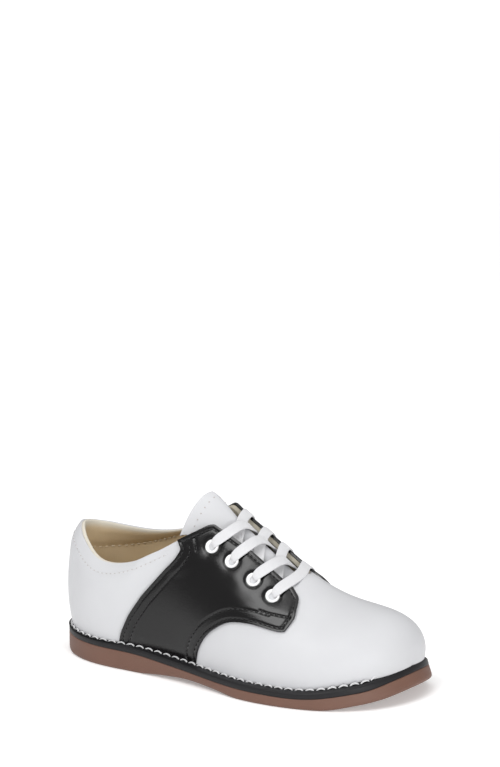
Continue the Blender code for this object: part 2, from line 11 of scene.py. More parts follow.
import bmesh
import bpy
import numpy as np
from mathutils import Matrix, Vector


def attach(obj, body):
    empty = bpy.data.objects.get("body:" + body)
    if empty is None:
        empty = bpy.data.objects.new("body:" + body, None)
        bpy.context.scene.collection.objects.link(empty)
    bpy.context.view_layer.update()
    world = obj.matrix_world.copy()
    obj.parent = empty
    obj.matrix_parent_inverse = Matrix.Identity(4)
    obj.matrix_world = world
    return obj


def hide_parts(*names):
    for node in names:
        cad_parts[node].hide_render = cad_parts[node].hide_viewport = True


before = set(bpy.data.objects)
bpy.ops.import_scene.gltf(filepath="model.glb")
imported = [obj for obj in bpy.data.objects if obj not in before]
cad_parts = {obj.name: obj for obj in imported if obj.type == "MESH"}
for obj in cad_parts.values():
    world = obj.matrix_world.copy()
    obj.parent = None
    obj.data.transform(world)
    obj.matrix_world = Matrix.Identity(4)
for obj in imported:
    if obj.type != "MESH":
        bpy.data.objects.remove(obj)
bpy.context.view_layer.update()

MM = 0.001
LATERAL, MEDIAL = -1, 1
SIDES = {"lateral": LATERAL, "medial": MEDIAL}


def side_name(side):
    return "lateral" if side == LATERAL else "medial"


def named(columns, rows):
    """Table with named columns, as one dictionary for each row."""
    return [dict(zip(columns, row)) for row in rows]


def values(table, *names):
    """Columns of a table, as arrays."""
    return [np.array([row[name] for row in table]) for name in names]


# Driving sizes
LENGTH = 176.0          # outsole from toe to heel
BALL_WIDTH = 70.8       # outsole at its widest, across the ball
INSTEP_HEIGHT = 84.5    # ground to the highest point of the last's ridge, over the tongue
COLLAR_BACK = 58.6      # ground to the collar at the back of the heel

# Sections of the last from toe to heel: places along are percents of LENGTH from its middle, across
# percents of BALL_WIDTH, heights percents of INSTEP_HEIGHT. Rise and bulge, in millimetres, shape the lower
# half of a section; reach and drop shape its upper half.
SECTION_COLUMNS = ("sole_x", "sole_lat", "sole_med", "top_x", "top_mid", "top_half", "top_z",
                   "rise", "bulge", "reach_lat", "reach_med", "drop")
SECTIONS = {
    "tip":         (50.0,  13.2, 13.2,  47.6, 12.7,  0.0,  18.2, 0.55, 0.0, 0.60, 0.60, 0.00),
    "toe_front":   (48.5,  -8.5, 33.4,  47.9, 12.4,  0.0,  28.4, 0.58, 2.2, 0.50, 0.50, 0.00),
    "toe_round":   (43.5, -27.5, 48.6,  45.5, 11.7,  0.0,  38.5, 0.62, 3.4, 0.47, 0.47, 0.00),
    "toe_side":    (35.8, -41.0, 50.0,  40.3,  9.9,  0.0,  44.9, 0.62, 3.0, 0.46, 0.46, 0.00),
    "ball_front":  (26.1, -48.4, 50.0,  29.8,  6.4,  0.0,  49.8, 0.62, 2.0, 0.43, 0.35, 0.00),
    "ball":        (14.8, -50.0, 47.3,  18.8,  2.8,  0.0,  61.6, 0.54, 1.5, 0.48, 0.27, 0.00),
    "ball_back":   (3.4,  -45.6, 41.4,   6.8,  1.7,  0.0,  78.8, 0.50, 1.6, 0.55, 0.40, 0.00),
    "waist":       (-8.0, -41.0, 36.7,  -2.0,  2.1,  0.0,  91.8, 0.48, 1.8, 0.58, 0.51, 0.00),
    "waist_back":  (-15.9, -39.0, 35.6, -8.2,  1.7,  0.0, 100.0, 0.46, 2.0, 0.58, 0.58, 0.02),
    "instep_back": (-22.2, -38.1, 35.9, -12.5, 0.6, 16.2,  95.9, 0.44, 2.5, 0.15, 0.15, 0.15),
    "ankle":       (-29.0, -38.0, 37.0, -20.5, 0.0, 28.7,  81.7, 0.42, 3.2, 0.02, 0.02, 0.25),
    "heel":        (-36.4, -35.7, 35.5, -32.6, 0.0, 31.4,  75.1, 0.40, 3.8, 0.00, 0.00, 0.28),
    "heel_round":  (-44.0, -27.3, 27.3, -43.2, 0.0, 23.0,  74.6, 0.40, 5.0, 0.00, 0.00, 0.28),
    "heel_corner": (-48.6, -15.0, 15.0, -48.0, 0.0, 12.3,  75.1, 0.40, 4.9, 0.00, 0.00, 0.28),
    "back":        (-50.0,   0.0,  0.0, -49.3, 0.0,  0.0,  75.7, 0.40, 4.9, 0.00, 0.00, 0.28),
}

# Height of the collar at the sections it passes, lateral and medial, in percents of COLLAR_BACK
COLLAR = {
    "ball_back":   (147.0, 150.0),
    "waist":       (119.5, 131.5),
    "waist_back":  (104.2, 117.0),
    "instep_back": (94.8, 107.0),
    "ankle":       (85.1, 97.6),
    "heel":        (80.3, 90.8),
    "heel_round":  (92.1, 93.8),
    "heel_corner": (100.0, 97.0),
    "back":        (99.6, 99.6),
}
GAP_HALF = 10.6         # half of the throat's breadth between the two facings
CORNER_SOFT = 0.05      # share of a section over which the facing's edge rounds into the collar

# Side view of the sole: place along in percents of LENGTH, then its underside and the bed on top of it
SOLE_SIDE = named(("along", "underside", "bed"), (
    (-50.0, 0.9, 9.6),
    (-44.3, 0.0, 9.1),
    (-33.0, 0.0, 8.8),
    (-21.6, 0.0, 8.5),
    (-13.6, 1.3, 7.4),
    (-4.5,  2.3, 6.2),
    (4.5,   1.4, 5.2),
    (12.5,  0.0, 4.8),
    (19.3,  0.0, 4.7),
    (26.1,  0.0, 4.6),
    (34.1,  0.1, 5.4),
    (42.0,  2.4, 7.7),
    (46.4,  4.3, 9.6),
    (50.0,  7.1, 12.4),
))
WELT_RISE = 3.2         # from the sole's bed to the feather line
WELT_SHOW = 4.2         # bare breadth of the welt beside the forefoot
WELT_SHOW_HEEL = 1.7    # and beside the heel

# Saddle: its front and back edges, as stations, at shares up from the feather line to the facing's edge
SADDLE = named(("up", "front", "back"), (
    (0.000, 0.546, 0.745),
    (0.105, 0.539, 0.738),
    (0.215, 0.521, 0.730),
    (0.300, 0.496, 0.724),
    (0.378, 0.467, 0.716),
    (0.433, 0.436, 0.710),
    (0.495, 0.390, 0.703),
    (0.520, 0.350, 0.699),
    (0.550, 0.337, 0.694),
    (0.700, 0.334, 0.664),
    (0.800, 0.341, 0.639),
    (0.860, 0.346, 0.634),
    (0.930, 0.354, 0.642),
    (1.000, 0.376, 0.652),
))

TAB_BACK = 0.022        # how much further back the medial saddle's front lies, as a station
TAB_RISE = (0.2, 0.5)   # shares up between which it moves back

# Eyelets, counted from the toe: station on each side, and share of the way up to the facing's edge
EYELETS = named(("lateral", "medial", "up"), (
    (0.398, 0.413, 0.796),
    (0.445, 0.463, 0.797),
    (0.503, 0.508, 0.812),
    (0.565, 0.573, 0.828),
))

# Curves through the tables

def spline(knots, heights, at, flat_end=False):
    """Smooth cubic through heights at knots, with no bend at its ends, or no slope at a flat far end."""
    k = np.asarray(knots, float)
    v = np.asarray(heights, float)
    h = np.diff(k)
    slope = np.diff(v)/h
    n = len(k)
    a = np.eye(n)
    b = np.zeros(n)
    for i in range(1, n-1):
        a[i, i-1:i+2] = h[i-1]/6, (h[i-1]+h[i])/3, h[i]/6
        b[i] = slope[i]-slope[i-1]
    if flat_end:
        a[-1, -2:] = h[-1]/6, h[-1]/3
        b[-1] = -slope[-1]
    m = np.linalg.solve(a, b)
    i = np.clip(np.searchsorted(k, at, side="right")-1, 0, n-2)
    u = (at-k[i])/h[i]
    w = 1-u
    return w*v[i]+u*v[i+1]+((w**3-w)*m[i]+(u**3-u)*m[i+1])*h[i]**2/6


def steady(knots, heights, at):
    """Cubic that never overshoots its heights: the slope at a knot is the harmonic mean of the slopes
    beside it."""
    k = np.asarray(knots, float)
    v = np.asarray(heights, float)
    h = np.diff(k)
    slope = np.diff(v)/h
    both = slope[:-1]*slope[1:]
    mean = np.where(both > 0, 2*both/np.where(both > 0, slope[:-1]+slope[1:], 1), 0)
    m = np.concatenate([slope[:1], mean, slope[-1:]])
    at = np.clip(at, k[0], k[-1])
    i = np.clip(np.searchsorted(k, at, side="right")-1, 0, len(k)-2)
    u = (at-k[i])/h[i]
    w = 1-u
    return w*w*(1+2*u)*v[i]+u*u*(3-2*u)*v[i+1]+u*w*h[i]*(w*m[i]-u*m[i+1])


def unit(v):
    return v/np.maximum(np.linalg.norm(v, axis=-1, keepdims=True), 1e-12)


def ease(x, start, end):
    """0 before start, 1 after end, and a smooth step between them."""
    u = np.clip((np.asarray(x, float)-start)/(end-start), 0, 1)
    return u*u*(3-2*u)


def hump(x, middle, breadth):
    """A soft bell of height 1 round middle, with breadth from its middle to where it has fallen to a
    third."""
    return np.exp(-((x-middle)/breadth)**2)


# The last

ALONG, ACROSS, UP = LENGTH/100, BALL_WIDTH/100, INSTEP_HEIGHT/100
UNITS = dict(zip(SECTION_COLUMNS, (ALONG, ACROSS, ACROSS, ALONG, ACROSS, ACROSS, UP, 1, 1, 1, 1, 1)))


def column(name):
    """One column of the section table, its percents turned to millimetres."""
    place = SECTION_COLUMNS.index(name)
    return UNITS[name]*np.array([row[place] for row in SECTIONS.values()])


def section_stations():
    """Station of each section: its share of the way along the sole's edge, as the mean of both sides."""
    steps = [np.hypot(np.diff(column("sole_x")), np.diff(column(c))) for c in ("sole_lat", "sole_med")]
    way = np.concatenate([[0], np.cumsum(sum(steps))])
    return way/way[-1]


STATIONS = section_stations()


def station(name):
    return STATIONS[list(SECTIONS).index(name)]


def loop(side, s):
    """Place of a station on the closed loop round the sole: lateral 0 to 1, medial 2 back to 1."""
    return np.where(np.asarray(side) < 0, s, 2-np.asarray(s, float))


def sole_curve():
    """Places, x and y of the sole's edge as one closed loop, with a few rows repeated past both ends."""
    repeat = 8
    rings = (np.concatenate([STATIONS[:-1], 2-STATIONS[:0:-1]]),
             np.concatenate([column("sole_x")[:-1], column("sole_x")[:0:-1]]),
             np.concatenate([column("sole_lat")[:-1], column("sole_med")[:0:-1]]))
    turns = (2, 0, 0)
    return [np.concatenate([r[-repeat:]-turn, r, r[:repeat]+turn]) for r, turn in zip(rings, turns)]


SOLE_PLACE, SOLE_X, SOLE_Y = sole_curve()


def sole_edge(side, s, inset=0.0):
    """Outsole's edge in plan, moved in by inset."""
    q = loop(side, s)
    edge = np.stack([spline(SOLE_PLACE, c, q) for c in (SOLE_X, SOLE_Y)], -1)
    return edge-np.asarray(inset)[..., None]*sole_outward(side, s)


def sole_outward(side, s, step=1e-3):
    """Unit vector in plan, square to the sole's edge."""
    q = loop(side, s)
    d = np.stack([spline(SOLE_PLACE, c, q+step)-spline(SOLE_PLACE, c, q-step) for c in (SOLE_X, SOLE_Y)], -1)
    return unit(np.stack([-d[..., 1], d[..., 0]], -1))


def underside(x):
    along, height = values(SOLE_SIDE, "along", "underside")
    return steady(ALONG*along, height, x)


def bed(x):
    along, height = values(SOLE_SIDE, "along", "bed")
    return spline(ALONG*along, height, x)


def welt_show(s):
    """Bare breadth of the welt beside the upper at a station."""
    places = (0, station("waist"), station("heel"), 1)
    return steady(places, (WELT_SHOW, WELT_SHOW, WELT_SHOW_HEEL, WELT_SHOW_HEEL), s)


def feather(side, s):
    """Line where the upper's skin meets the welt."""
    xy = sole_edge(side, s, welt_show(s))
    return np.concatenate([xy, bed(xy[..., :1])+WELT_RISE], -1)


def top_line(side, s):
    """Ridge of the last from the toe to the tongue, then the ring round the ankle."""
    half = column("top_half")
    past = np.concatenate([STATIONS, 2-STATIONS[-2:-4:-1]])
    wide = steady(past, np.concatenate([half, -half[-2:-4:-1]]), s)
    x = spline(STATIONS, column("top_x"), s, flat_end=True)
    y = spline(STATIONS, column("top_mid"), s)+side*wide
    return np.stack([x, y, spline(STATIONS, column("top_z"), s, flat_end=True)], -1)


def last(side, s, t):
    """Skin of the last. A section is a cubic Bezier curve: it leaves the feather line upward, swelling out
    by bulge, and comes into the top line squarely across the foot, over reach as a share of its half
    breadth, less drop."""
    s, t = np.broadcast_arrays(np.asarray(s, float), np.asarray(t, float))
    base = feather(side, s)
    top = top_line(side, s)
    names = ("rise", "bulge", "reach_lat" if side == LATERAL else "reach_med", "drop")
    rise, bulge, reach, drop = (steady(STATIONS, column(name), s) for name in names)
    tall = top[..., 2]-base[..., 2]
    out = sole_outward(side, s)
    low = base+np.stack([bulge*out[..., 0], bulge*out[..., 1], rise*tall], -1)
    level = reach[..., None]*(base-feather(-side, s))/2
    high = top+np.stack([level[..., 0], level[..., 1], -drop*tall], -1)
    t = t[..., None]
    w = 1-t
    return w**3*base+3*w*w*t*low+3*w*t*t*high+t**3*top


def slopes(side, s, t, step=2e-3):
    """How the skin moves along s and along t, in millimetres a unit, by differences to both sides."""
    s, t = np.broadcast_arrays(np.asarray(s, float), np.asarray(t, float))
    s0, s1 = np.clip(s-step, step/10, 1), np.clip(s+step, step/10, 1)
    t0, t1 = np.clip(t-step, 0, 1-step), np.clip(t+step, step, 1)
    along = (last(side, s1, t)-last(side, s0, t))/(s1-s0)[..., None]
    upward = (last(side, s, t1)-last(side, s, t0))/(t1-t0)[..., None]
    return along, upward


def normal(side, s, t):
    """Unit normal of the skin, out of the shoe."""
    along, upward = slopes(side, s, t)
    return unit(np.cross(along, upward)*side)


def skin(side, s, t, lift):
    """Point off the skin by lift, inside the shoe where lift is negative."""
    return last(side, s, t)+np.asarray(lift)[..., None]*normal(side, s, t)


# The opening

HALVINGS = 26           # enough to find a share to the last digits that matter


def share_where(reached, s):
    """Share t at which reached(t) turns true at each station, found by halving all of them together."""
    low, high = np.zeros_like(s), np.ones_like(s)
    for _ in range(HALVINGS):
        middle = (low+high)/2
        past = reached(middle)
        low, high = np.where(past, low, middle), np.where(past, middle, high)
    return (low+high)/2


def collar_height(side, s):
    """Height of the collar, smooth round the back of the heel from one side to the other."""
    k = np.array([station(n) for n in COLLAR])
    lateral, medial = np.array(list(COLLAR.values())).T*COLLAR_BACK/100
    places = np.concatenate([k, 2-k[-2::-1]])
    return spline(places, np.concatenate([lateral, medial[-2::-1]]), loop(side, s))


def wall_top(side, s):
    """Share t at which the side wall ends: the facing's edge, then the collar, with a round corner between.
    Ahead of the throat it is the same share as at the throat's front."""
    q = np.clip(s, station("ball"), 1)
    facing = share_where(lambda t: side*last(side, q, t)[..., 1] <= GAP_HALF, q)
    facing = np.where(q > station("waist_back"), 1.0, facing)
    height = collar_height(side, np.maximum(q, station("ball_back")))
    collar = share_where(lambda t: last(side, q, t)[..., 2] >= height, q)
    collar = np.where(q < station("ball_back"), 1.0+CORNER_SOFT, collar)
    d = np.clip(0.5+(collar-facing)/(2*CORNER_SOFT), 0, 1)
    return collar*(1-d)+facing*d-CORNER_SOFT*d*(1-d)


EVERY_STATION = np.linspace(0, 1, 1601)
WALL_TOP = {side: wall_top(side, EVERY_STATION) for side in SIDES.values()}


def edge_share(side, s):
    """wall_top, read from its values at many stations."""
    return np.interp(s, EVERY_STATION, WALL_TOP[side])


PAD_START, PAD_FULL = 0.60, 0.69    # stations between which the collar's padding begins
TURN_START, TURN_FULL = 0.64, 0.84  # stations between which the wall begins to lean in at its edge
TURN_IN = 3.4           # how far it leans in
TURN_DEPTH = 10.0       # how far below the edge it starts to


def padding(s):
    return ease(s, PAD_START, PAD_FULL)


def edge_scale(side, s, just_below=0.05):
    """Millimetres to a unit of share t, just below the wall's edge."""
    return np.linalg.norm(slopes(side, s, edge_share(side, s)-just_below)[1], axis=-1)


def turn_in(s, below):
    """How far the wall leans in at millimetres below its edge: a parabola that begins at TURN_DEPTH."""
    return TURN_IN*ease(s, TURN_START, TURN_FULL)*np.clip(1-below/TURN_DEPTH, 0, None)**2


# Materials

def srgb(code, alpha=1.0):
    """Linear colour of an sRGB hex code."""
    parts = np.array([int(code[i:i+2], 16) for i in (0, 2, 4)])/255
    linear = np.where(parts <= 0.04045, parts/12.92, ((parts+0.055)/1.055)**2.4)
    return (*linear.tolist(), alpha)


def per_mm(size):
    """Texture scale that gives features of that many millimetres on coordinates in metres."""
    return 1/(size*MM)


def add(tree, kind, inputs=None, **settings):
    """Adds a node. Settings are its own properties; inputs are values, or the sockets that feed it."""
    made = tree.nodes.new(kind)
    for name, value in settings.items():
        setattr(made, name, value)
    for name, value in (inputs or {}).items():
        if isinstance(value, bpy.types.NodeSocket):
            tree.links.new(value, made.inputs[name])
        else:
            made.inputs[name].default_value = value
    return made


def new_material(name, **sockets):
    """Material with its shader's fixed values set; returns it, its tree and its shader."""
    made = bpy.data.materials.new(name)
    made.use_nodes = True
    shader = made.node_tree.nodes["Principled BSDF"]
    for socket, value in sockets.items():
        shader.inputs[socket.replace("_", " ")].default_value = value
    return made, made.node_tree, shader


def feed(tree, shader, **sources):
    """Links the shader's named sockets to the sockets that feed them."""
    for socket, source in sources.items():
        tree.links.new(source, shader.inputs[socket.replace("_", " ")])


CLOUD = 16.0            # breadth of the slow drift in a hide's colour


def leather(name, light, dark, pore, pore_depth, rough, tints=(), **sockets):
    """Leather: a colour that drifts between two tones over a few centimetres, and a grain of small cells
    parted by fine creases, which also scatters the gloss. Tints are laid over it by the parts of its UV
    map."""
    made, tree, shader = new_material(name, **sockets)
    place = add(tree, "ShaderNodeTexCoord").outputs["Object"]
    cloud = add(tree, "ShaderNodeTexNoise", {"Vector": place, "Scale": per_mm(CLOUD), "Detail": 4.0})
    cells = add(tree, "ShaderNodeTexVoronoi", {"Vector": place, "Scale": per_mm(pore)},
                feature="DISTANCE_TO_EDGE")
    fine = add(tree, "ShaderNodeTexNoise", {"Vector": place, "Scale": per_mm(pore/3), "Detail": 2.0})
    tone = add(tree, "ShaderNodeMix", {0: cloud.outputs[0], 6: srgb(light), 7: srgb(dark)}, data_type="RGBA")
    gloss = add(tree, "ShaderNodeMapRange", {"Value": cloud.outputs[0], "From Min": 0.3, "From Max": 0.7,
                                             "To Min": rough[0], "To Max": rough[1]})
    crease = add(tree, "ShaderNodeMapRange", {"Value": cells.outputs["Distance"], "From Max": 0.18})
    grain = add(tree, "ShaderNodeBump", {"Height": crease.outputs[0], "Strength": 0.6,
                                         "Distance": pore_depth*MM})
    nap = add(tree, "ShaderNodeBump", {"Height": fine.outputs[0], "Strength": 0.4, "Distance": pore_depth*MM,
                                       "Normal": grain.outputs[0]})
    colour = tone.outputs[2]
    if tints:
        weave = add(tree, "ShaderNodeUVMap", uv_map="weave")
        parts = add(tree, "ShaderNodeSeparateXYZ", {0: weave.outputs[0]})
        for part, tint in zip(parts.outputs, tints):
            laid = add(tree, "ShaderNodeMix", {0: part, 6: colour, 7: srgb(tint)}, data_type="RGBA")
            colour = laid.outputs[2]
    feed(tree, shader, Base_Color=colour, Roughness=gloss.outputs[0], Normal=nap.outputs[0])
    return made


def white_leather():
    # Smooth side leather under an opaque white pigment finish: a clean, slightly cool white with a broad soft
    # sheen
    return leather("smooth_white_leather", "cbccce", "c6c6c9", 0.9, 0.02, (0.42, 0.52), IOR=1.42)


def black_leather():
    # Side leather corrected and polished black: a deep neutral black whose highlights turn grey and soft
    return leather("polished_black_leather", "090809", "060506", 0.8, 0.016, (0.17, 0.23), IOR=1.46)


def lining_leather():
    # Undyed lining leather, only tanned and rolled: a warm matte tan with visible pores. Over the padded
    # collar a paler tint, partly the leather stretched thin and partly a painted highlight on the roll's lit
    # top; along the facings a greyer tint of painted shade
    return leather("tanned_lining_leather", "dccaaa", "cbb48e", 1.1, 0.04, (0.68, 0.8),
                   tints=("d4cec0", "a9a394"), IOR=1.45)


def grained(name, tones, drift, grain, rough, depth, strength, smooth=0.0, **sockets):
    """Moulded surface: a colour that drifts between two tones, and a grain that dimples it by depth and
    scatters the gloss between two roughnesses. Drift and grain are breadths in millimetres; smooth takes
    detail off both."""
    made, tree, shader = new_material(name, **sockets)
    place = add(tree, "ShaderNodeTexCoord").outputs["Object"]
    cloud = add(tree, "ShaderNodeTexNoise", {"Vector": place, "Scale": per_mm(drift), "Detail": 4.0-smooth})
    pits = add(tree, "ShaderNodeTexNoise", {"Vector": place, "Scale": per_mm(grain), "Detail": 3.0-smooth})
    gloss = add(tree, "ShaderNodeMapRange", {"Value": pits.outputs[0],
                                             "To Min": rough[0], "To Max": rough[1]})
    bump = add(tree, "ShaderNodeBump", {"Height": pits.outputs[0], "Strength": strength,
                                        "Distance": depth*MM})
    tone = add(tree, "ShaderNodeMix", {0: cloud.outputs[0], 6: srgb(tones[0]), 7: srgb(tones[1])},
               data_type="RGBA")
    feed(tree, shader, Base_Color=tone.outputs[2], Roughness=gloss.outputs[0], Normal=bump.outputs[0])
    return made


def brown_rubber():
    # Moulded and edge-trimmed crepe-brown rubber: matte, with a very fine pitted grain and a faint grey bloom
    return grained("moulded_brown_rubber", ("725143", "644639"), 22.0, 0.5, (0.5, 0.68), 0.05, 0.5, IOR=1.5)


def welt_strip():
    # Extruded black welt strip with an inked edge: charcoal, satin, with a slight drag along its length
    return grained("inked_black_welt", ("121114", "0d0c0f"), 9.0, 0.6, (0.44, 0.6), 0.04, 0.4, smooth=1.0,
                   IOR=1.42)


def plied(name, light, dark, pitch, depth, herringbone=False, **sockets):
    """Yarns or plies that lie on a slant, one to each pitch along the UV map, turned back at its middle in a
    herringbone, deeper by depth between them. Painted shade darkens the colour between them, and a painted
    highlight lightens it on their backs."""
    made, tree, shader = new_material(name, **sockets)
    weave = add(tree, "ShaderNodeUVMap", uv_map="weave")
    parts = add(tree, "ShaderNodeSeparateXYZ", {0: weave.outputs[0]})
    beside = parts.outputs[1]
    if herringbone:
        beside = add(tree, "ShaderNodeMath", {0: beside}, operation="ABSOLUTE").outputs[0]
    slant = add(tree, "ShaderNodeMath", {0: parts.outputs[0], 1: beside}, operation="ADD")
    turn = add(tree, "ShaderNodeMath", {0: slant.outputs[0], 1: 2*math.pi/pitch}, operation="MULTIPLY")
    back = add(tree, "ShaderNodeMath", {0: turn.outputs[0]}, operation="SINE")
    # painted shade in the hollows between the yarns, painted highlight on their backs
    tone = add(tree, "ShaderNodeMapRange", {"Value": back.outputs[0], "From Min": -1.0})
    colour = add(tree, "ShaderNodeMix", {0: tone.outputs[0], 6: srgb(dark), 7: srgb(light)}, data_type="RGBA")
    bump = add(tree, "ShaderNodeBump", {"Height": back.outputs[0], "Strength": 0.5, "Distance": depth*MM})
    feed(tree, shader, Base_Color=colour.outputs[2], Normal=bump.outputs[0])
    return made


YARN = 0.75             # breadth of one yarn of the lace; the real one is finer, drawn coarser to show
PLY = 0.55              # breadth of one ply of the sewing thread, drawn coarser too


def lace_tape():
    # Bleached cotton tape, woven in a herringbone: bright, fully matte, with a soft edge of fibres
    return plied("woven_cotton_tape", "dcdcde", "cdcdcf", YARN, 0.06, herringbone=True, IOR=1.45,
                 Roughness=0.9, Sheen_Weight=0.25, Sheen_Roughness=0.5)


def thread(name, light, dark, rough):
    # Twisted and waxed sewing thread: plies that run round it on a slant, with a dull waxy gloss
    return plied(name, light, dark, PLY, 0.05, IOR=1.5, Roughness=rough)


def enamel():
    # Brass rings under baked white enamel: a hard glossy white with a little orange-peel waviness
    made, tree, shader = new_material("baked_white_enamel", Base_Color=srgb("f4f4f4"), IOR=1.52,
                                      Coat_Weight=0.4, Coat_Roughness=0.12)
    place = add(tree, "ShaderNodeTexCoord").outputs["Object"]
    peel = add(tree, "ShaderNodeTexNoise", {"Vector": place, "Scale": per_mm(1.2), "Detail": 1.0})
    gloss = add(tree, "ShaderNodeMapRange", {"Value": peel.outputs[0], "To Min": 0.22, "To Max": 0.34})
    bump = add(tree, "ShaderNodeBump", {"Height": peel.outputs[0], "Strength": 0.3, "Distance": 0.03*MM})
    feed(tree, shader, Roughness=gloss.outputs[0], Normal=bump.outputs[0])
    return made


def needle_hole(name, light, dark):
    # Painted shade of a hole that a needle left in the leather: dull grey dots, mottled between two tones
    made, tree, shader = new_material(name, IOR=1.4, Roughness=0.9)
    place = add(tree, "ShaderNodeTexCoord").outputs["Object"]
    mottle = add(tree, "ShaderNodeTexNoise", {"Vector": place, "Scale": per_mm(0.8), "Detail": 2.0})
    tone = add(tree, "ShaderNodeMix", {0: mottle.outputs[0], 6: srgb(light), 7: srgb(dark)}, data_type="RGBA")
    feed(tree, shader, Base_Color=tone.outputs[2])
    return made


WHITE, BLACK, TAN = white_leather(), black_leather(), lining_leather()
RUBBER, WELT, TAPE, ENAMEL = brown_rubber(), welt_strip(), lace_tape(), enamel()
WHITE_THREAD = thread("waxed_white_thread", "dededf", "bfbfc1", 0.6)
BLACK_THREAD = thread("waxed_black_thread", "1b1a1c", "0c0b0d", 0.45)
PALE_THREAD = thread("waxed_pale_thread", "e6d9c2", "cdbb9c", 0.65)
# grey dots of painted shade that stand for the needle holes in the white leather
HOLE_SHADE = needle_hole("needle_hole_shade_on_white", "bdb5b1", "a69d99")


# Meshes

def patch(points, outward=None, rings=(False, False), uv=None, finish=0):
    """A grid of points, or a stack of equal grids, as corners and quads. Rings says whether its rows and
    its columns close on themselves. It is turned to face along outward, or, where it is closed, so that its
    volume is positive."""
    points = np.asarray(points, float)
    points = points if points.ndim == 4 else points[None]
    count, rows, columns = points.shape[:3]
    i = np.arange(rows*columns).reshape(rows, columns)
    i = np.concatenate([i, i[:1]]) if rings[0] else i
    i = np.concatenate([i, i[:, :1]], 1) if rings[1] else i
    quads = np.stack([i[:-1, :-1], i[1:, :-1], i[1:, 1:], i[:-1, 1:]], -1).reshape(-1, 4)
    corners = points.reshape(count, -1, 3)
    a, b, c, d = (corners[:, quads[:, k]] for k in range(4))
    area = np.cross(c-a, d-b)
    toward = (a+b+c+d)/4-corners.mean(1, keepdims=True)
    if outward is not None:
        toward = np.broadcast_to(outward, points.shape).reshape(count, -1, 3)[:, quads[:, 0]]
    if (area*toward).sum() < 0:
        quads = quads[:, ::-1]
    quads = quads[None]+rows*columns*np.arange(count)[:, None, None]
    flat_uv = np.zeros((count*rows*columns, 2)) if uv is None else np.broadcast_to(uv, (*points.shape[:3], 2))
    return corners.reshape(-1, 3), quads.reshape(-1, 4), flat_uv.reshape(-1, 2), finish


def piece(name, patches, finishes, nodes=(), merge=0.0, fill=False):
    """Object made of patches, merged where they meet, that rides on the shoe and stands for the solids it
    names."""
    starts = np.cumsum([0]+[len(p[0]) for p in patches])
    corners = np.concatenate([p[0] for p in patches])*MM
    quads = np.concatenate([p[1]+start for p, start in zip(patches, starts)])
    uv = np.concatenate([p[2] for p in patches])
    mesh = bpy.data.meshes.new(name)
    mesh.vertices.add(len(corners))
    mesh.vertices.foreach_set("co", corners.ravel())
    mesh.loops.add(quads.size)
    mesh.loops.foreach_set("vertex_index", quads.ravel())
    mesh.polygons.add(len(quads))
    mesh.polygons.foreach_set("loop_start", np.arange(0, quads.size, 4))
    mesh.polygons.foreach_set("material_index", np.concatenate([np.full(len(p[1]), p[3]) for p in patches]))
    mesh.update(calc_edges=True)
    mesh.uv_layers.new(name="weave").data.foreach_set("uv", uv[quads.ravel()].ravel())
    if merge or fill:
        bm = bmesh.new()
        bm.from_mesh(mesh)
        bmesh.ops.remove_doubles(bm, verts=bm.verts, dist=merge*MM)
        bmesh.ops.dissolve_degenerate(bm, edges=bm.edges, dist=merge*MM/2)
        if fill:
            bmesh.ops.holes_fill(bm, edges=[e for e in bm.edges if e.is_boundary], sides=0)
        bm.to_mesh(mesh)
        bm.free()
    mesh.shade_smooth()
    for finish in finishes:
        mesh.materials.append(finish)
    obj = bpy.data.objects.new(name, mesh)
    bpy.context.scene.collection.objects.link(obj)
    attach(obj, "root")
    if nodes:
        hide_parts(*nodes)
    return obj


def thicken(obj, thick, inner_finish=0, rim_finish=0):
    """Wall of even thickness, grown inward from the surface."""
    wall = obj.modifiers.new("wall", "SOLIDIFY")
    wall.thickness = thick*MM
    wall.offset = -1
    wall.use_quality_normals = True
    wall.material_offset = inner_finish
    wall.material_offset_rim = rim_finish


def round_edges(obj, width, segments=3, sharp=50):
    """Rounds the edges that turn by more than sharp degrees."""
    bevel = obj.modifiers.new("round", "BEVEL")
    bevel.width = width*MM
    bevel.segments = segments
    bevel.limit_method = "ANGLE"
    bevel.angle_limit = math.radians(sharp)


MERGE = 0.03            # points nearer than this are one
THREAD_MERGE = 0.01     # and these, on a stitch
LACE_MERGE = 0.005      # and these, on a lace
MEETING = 1.5           # ends of the two sides nearer than this are the same end
UPWARD = np.array([0, 0, 1.0])


def share_ends(grids):
    """Gives the two sides of a surface the same points where they meet at the toe and at the heel."""
    a, b = grids
    for place in (np.s_[0, :], np.s_[-1, :]):
        if np.linalg.norm(a[place]-b[place], axis=-1).max() < MEETING:
            a[place] = b[place] = (a[place]+b[place])/2


def share_ridge(grids):
    """Gives the two sides of a surface the same points along the ridge."""
    a, b = grids
    a[:, -1] = b[:, -1] = (a[:, -1]+b[:, -1])/2


# Upper: white leather

WHITE_THICK = 1.1
WHITE_ROUND = 0.35      # rounding of its cut edges
WHITE_HIDE = 0.13       # share by which the white leather stops short of the facing's edge, under the saddle
UPPER_ROWS = 66
VAMP_ROWS = 22
THROAT_DIP = 1.9        # the vamp's edge bends down to the tongue under the lowest lace
DIP_AHEAD = 0.022       # as a station, how far ahead of the throat it begins to
DIP_UP = 0.07           # share above the facing's edge where it is deepest
HIDE_FRONT = 0.035      # as a station, how far behind the throat's front the leather is fully short
HIDE_BACK = 0.60, 0.634  # stations between which it comes up to the edge again, behind the saddle
VAMP_STATIONS, QUARTER_STATIONS = 112, 170


def white_edge(side, s):
    """Share t of the white leather's upper edge: the collar's, but short of it under the saddle's facing."""
    ball = station("ball")
    hidden = ease(s, ball, ball+HIDE_FRONT)*(1-ease(s, *HIDE_BACK))
    return edge_share(side, s)*(1-WHITE_HIDE*hidden)


def vamp_relief(s, t, edge):
    """Lift of the vamp: it bends down between the facings towards the tongue."""
    ball = station("ball")
    return -THROAT_DIP*ease(s, ball-DIP_AHEAD, ball)*ease(t, edge, edge+DIP_UP)


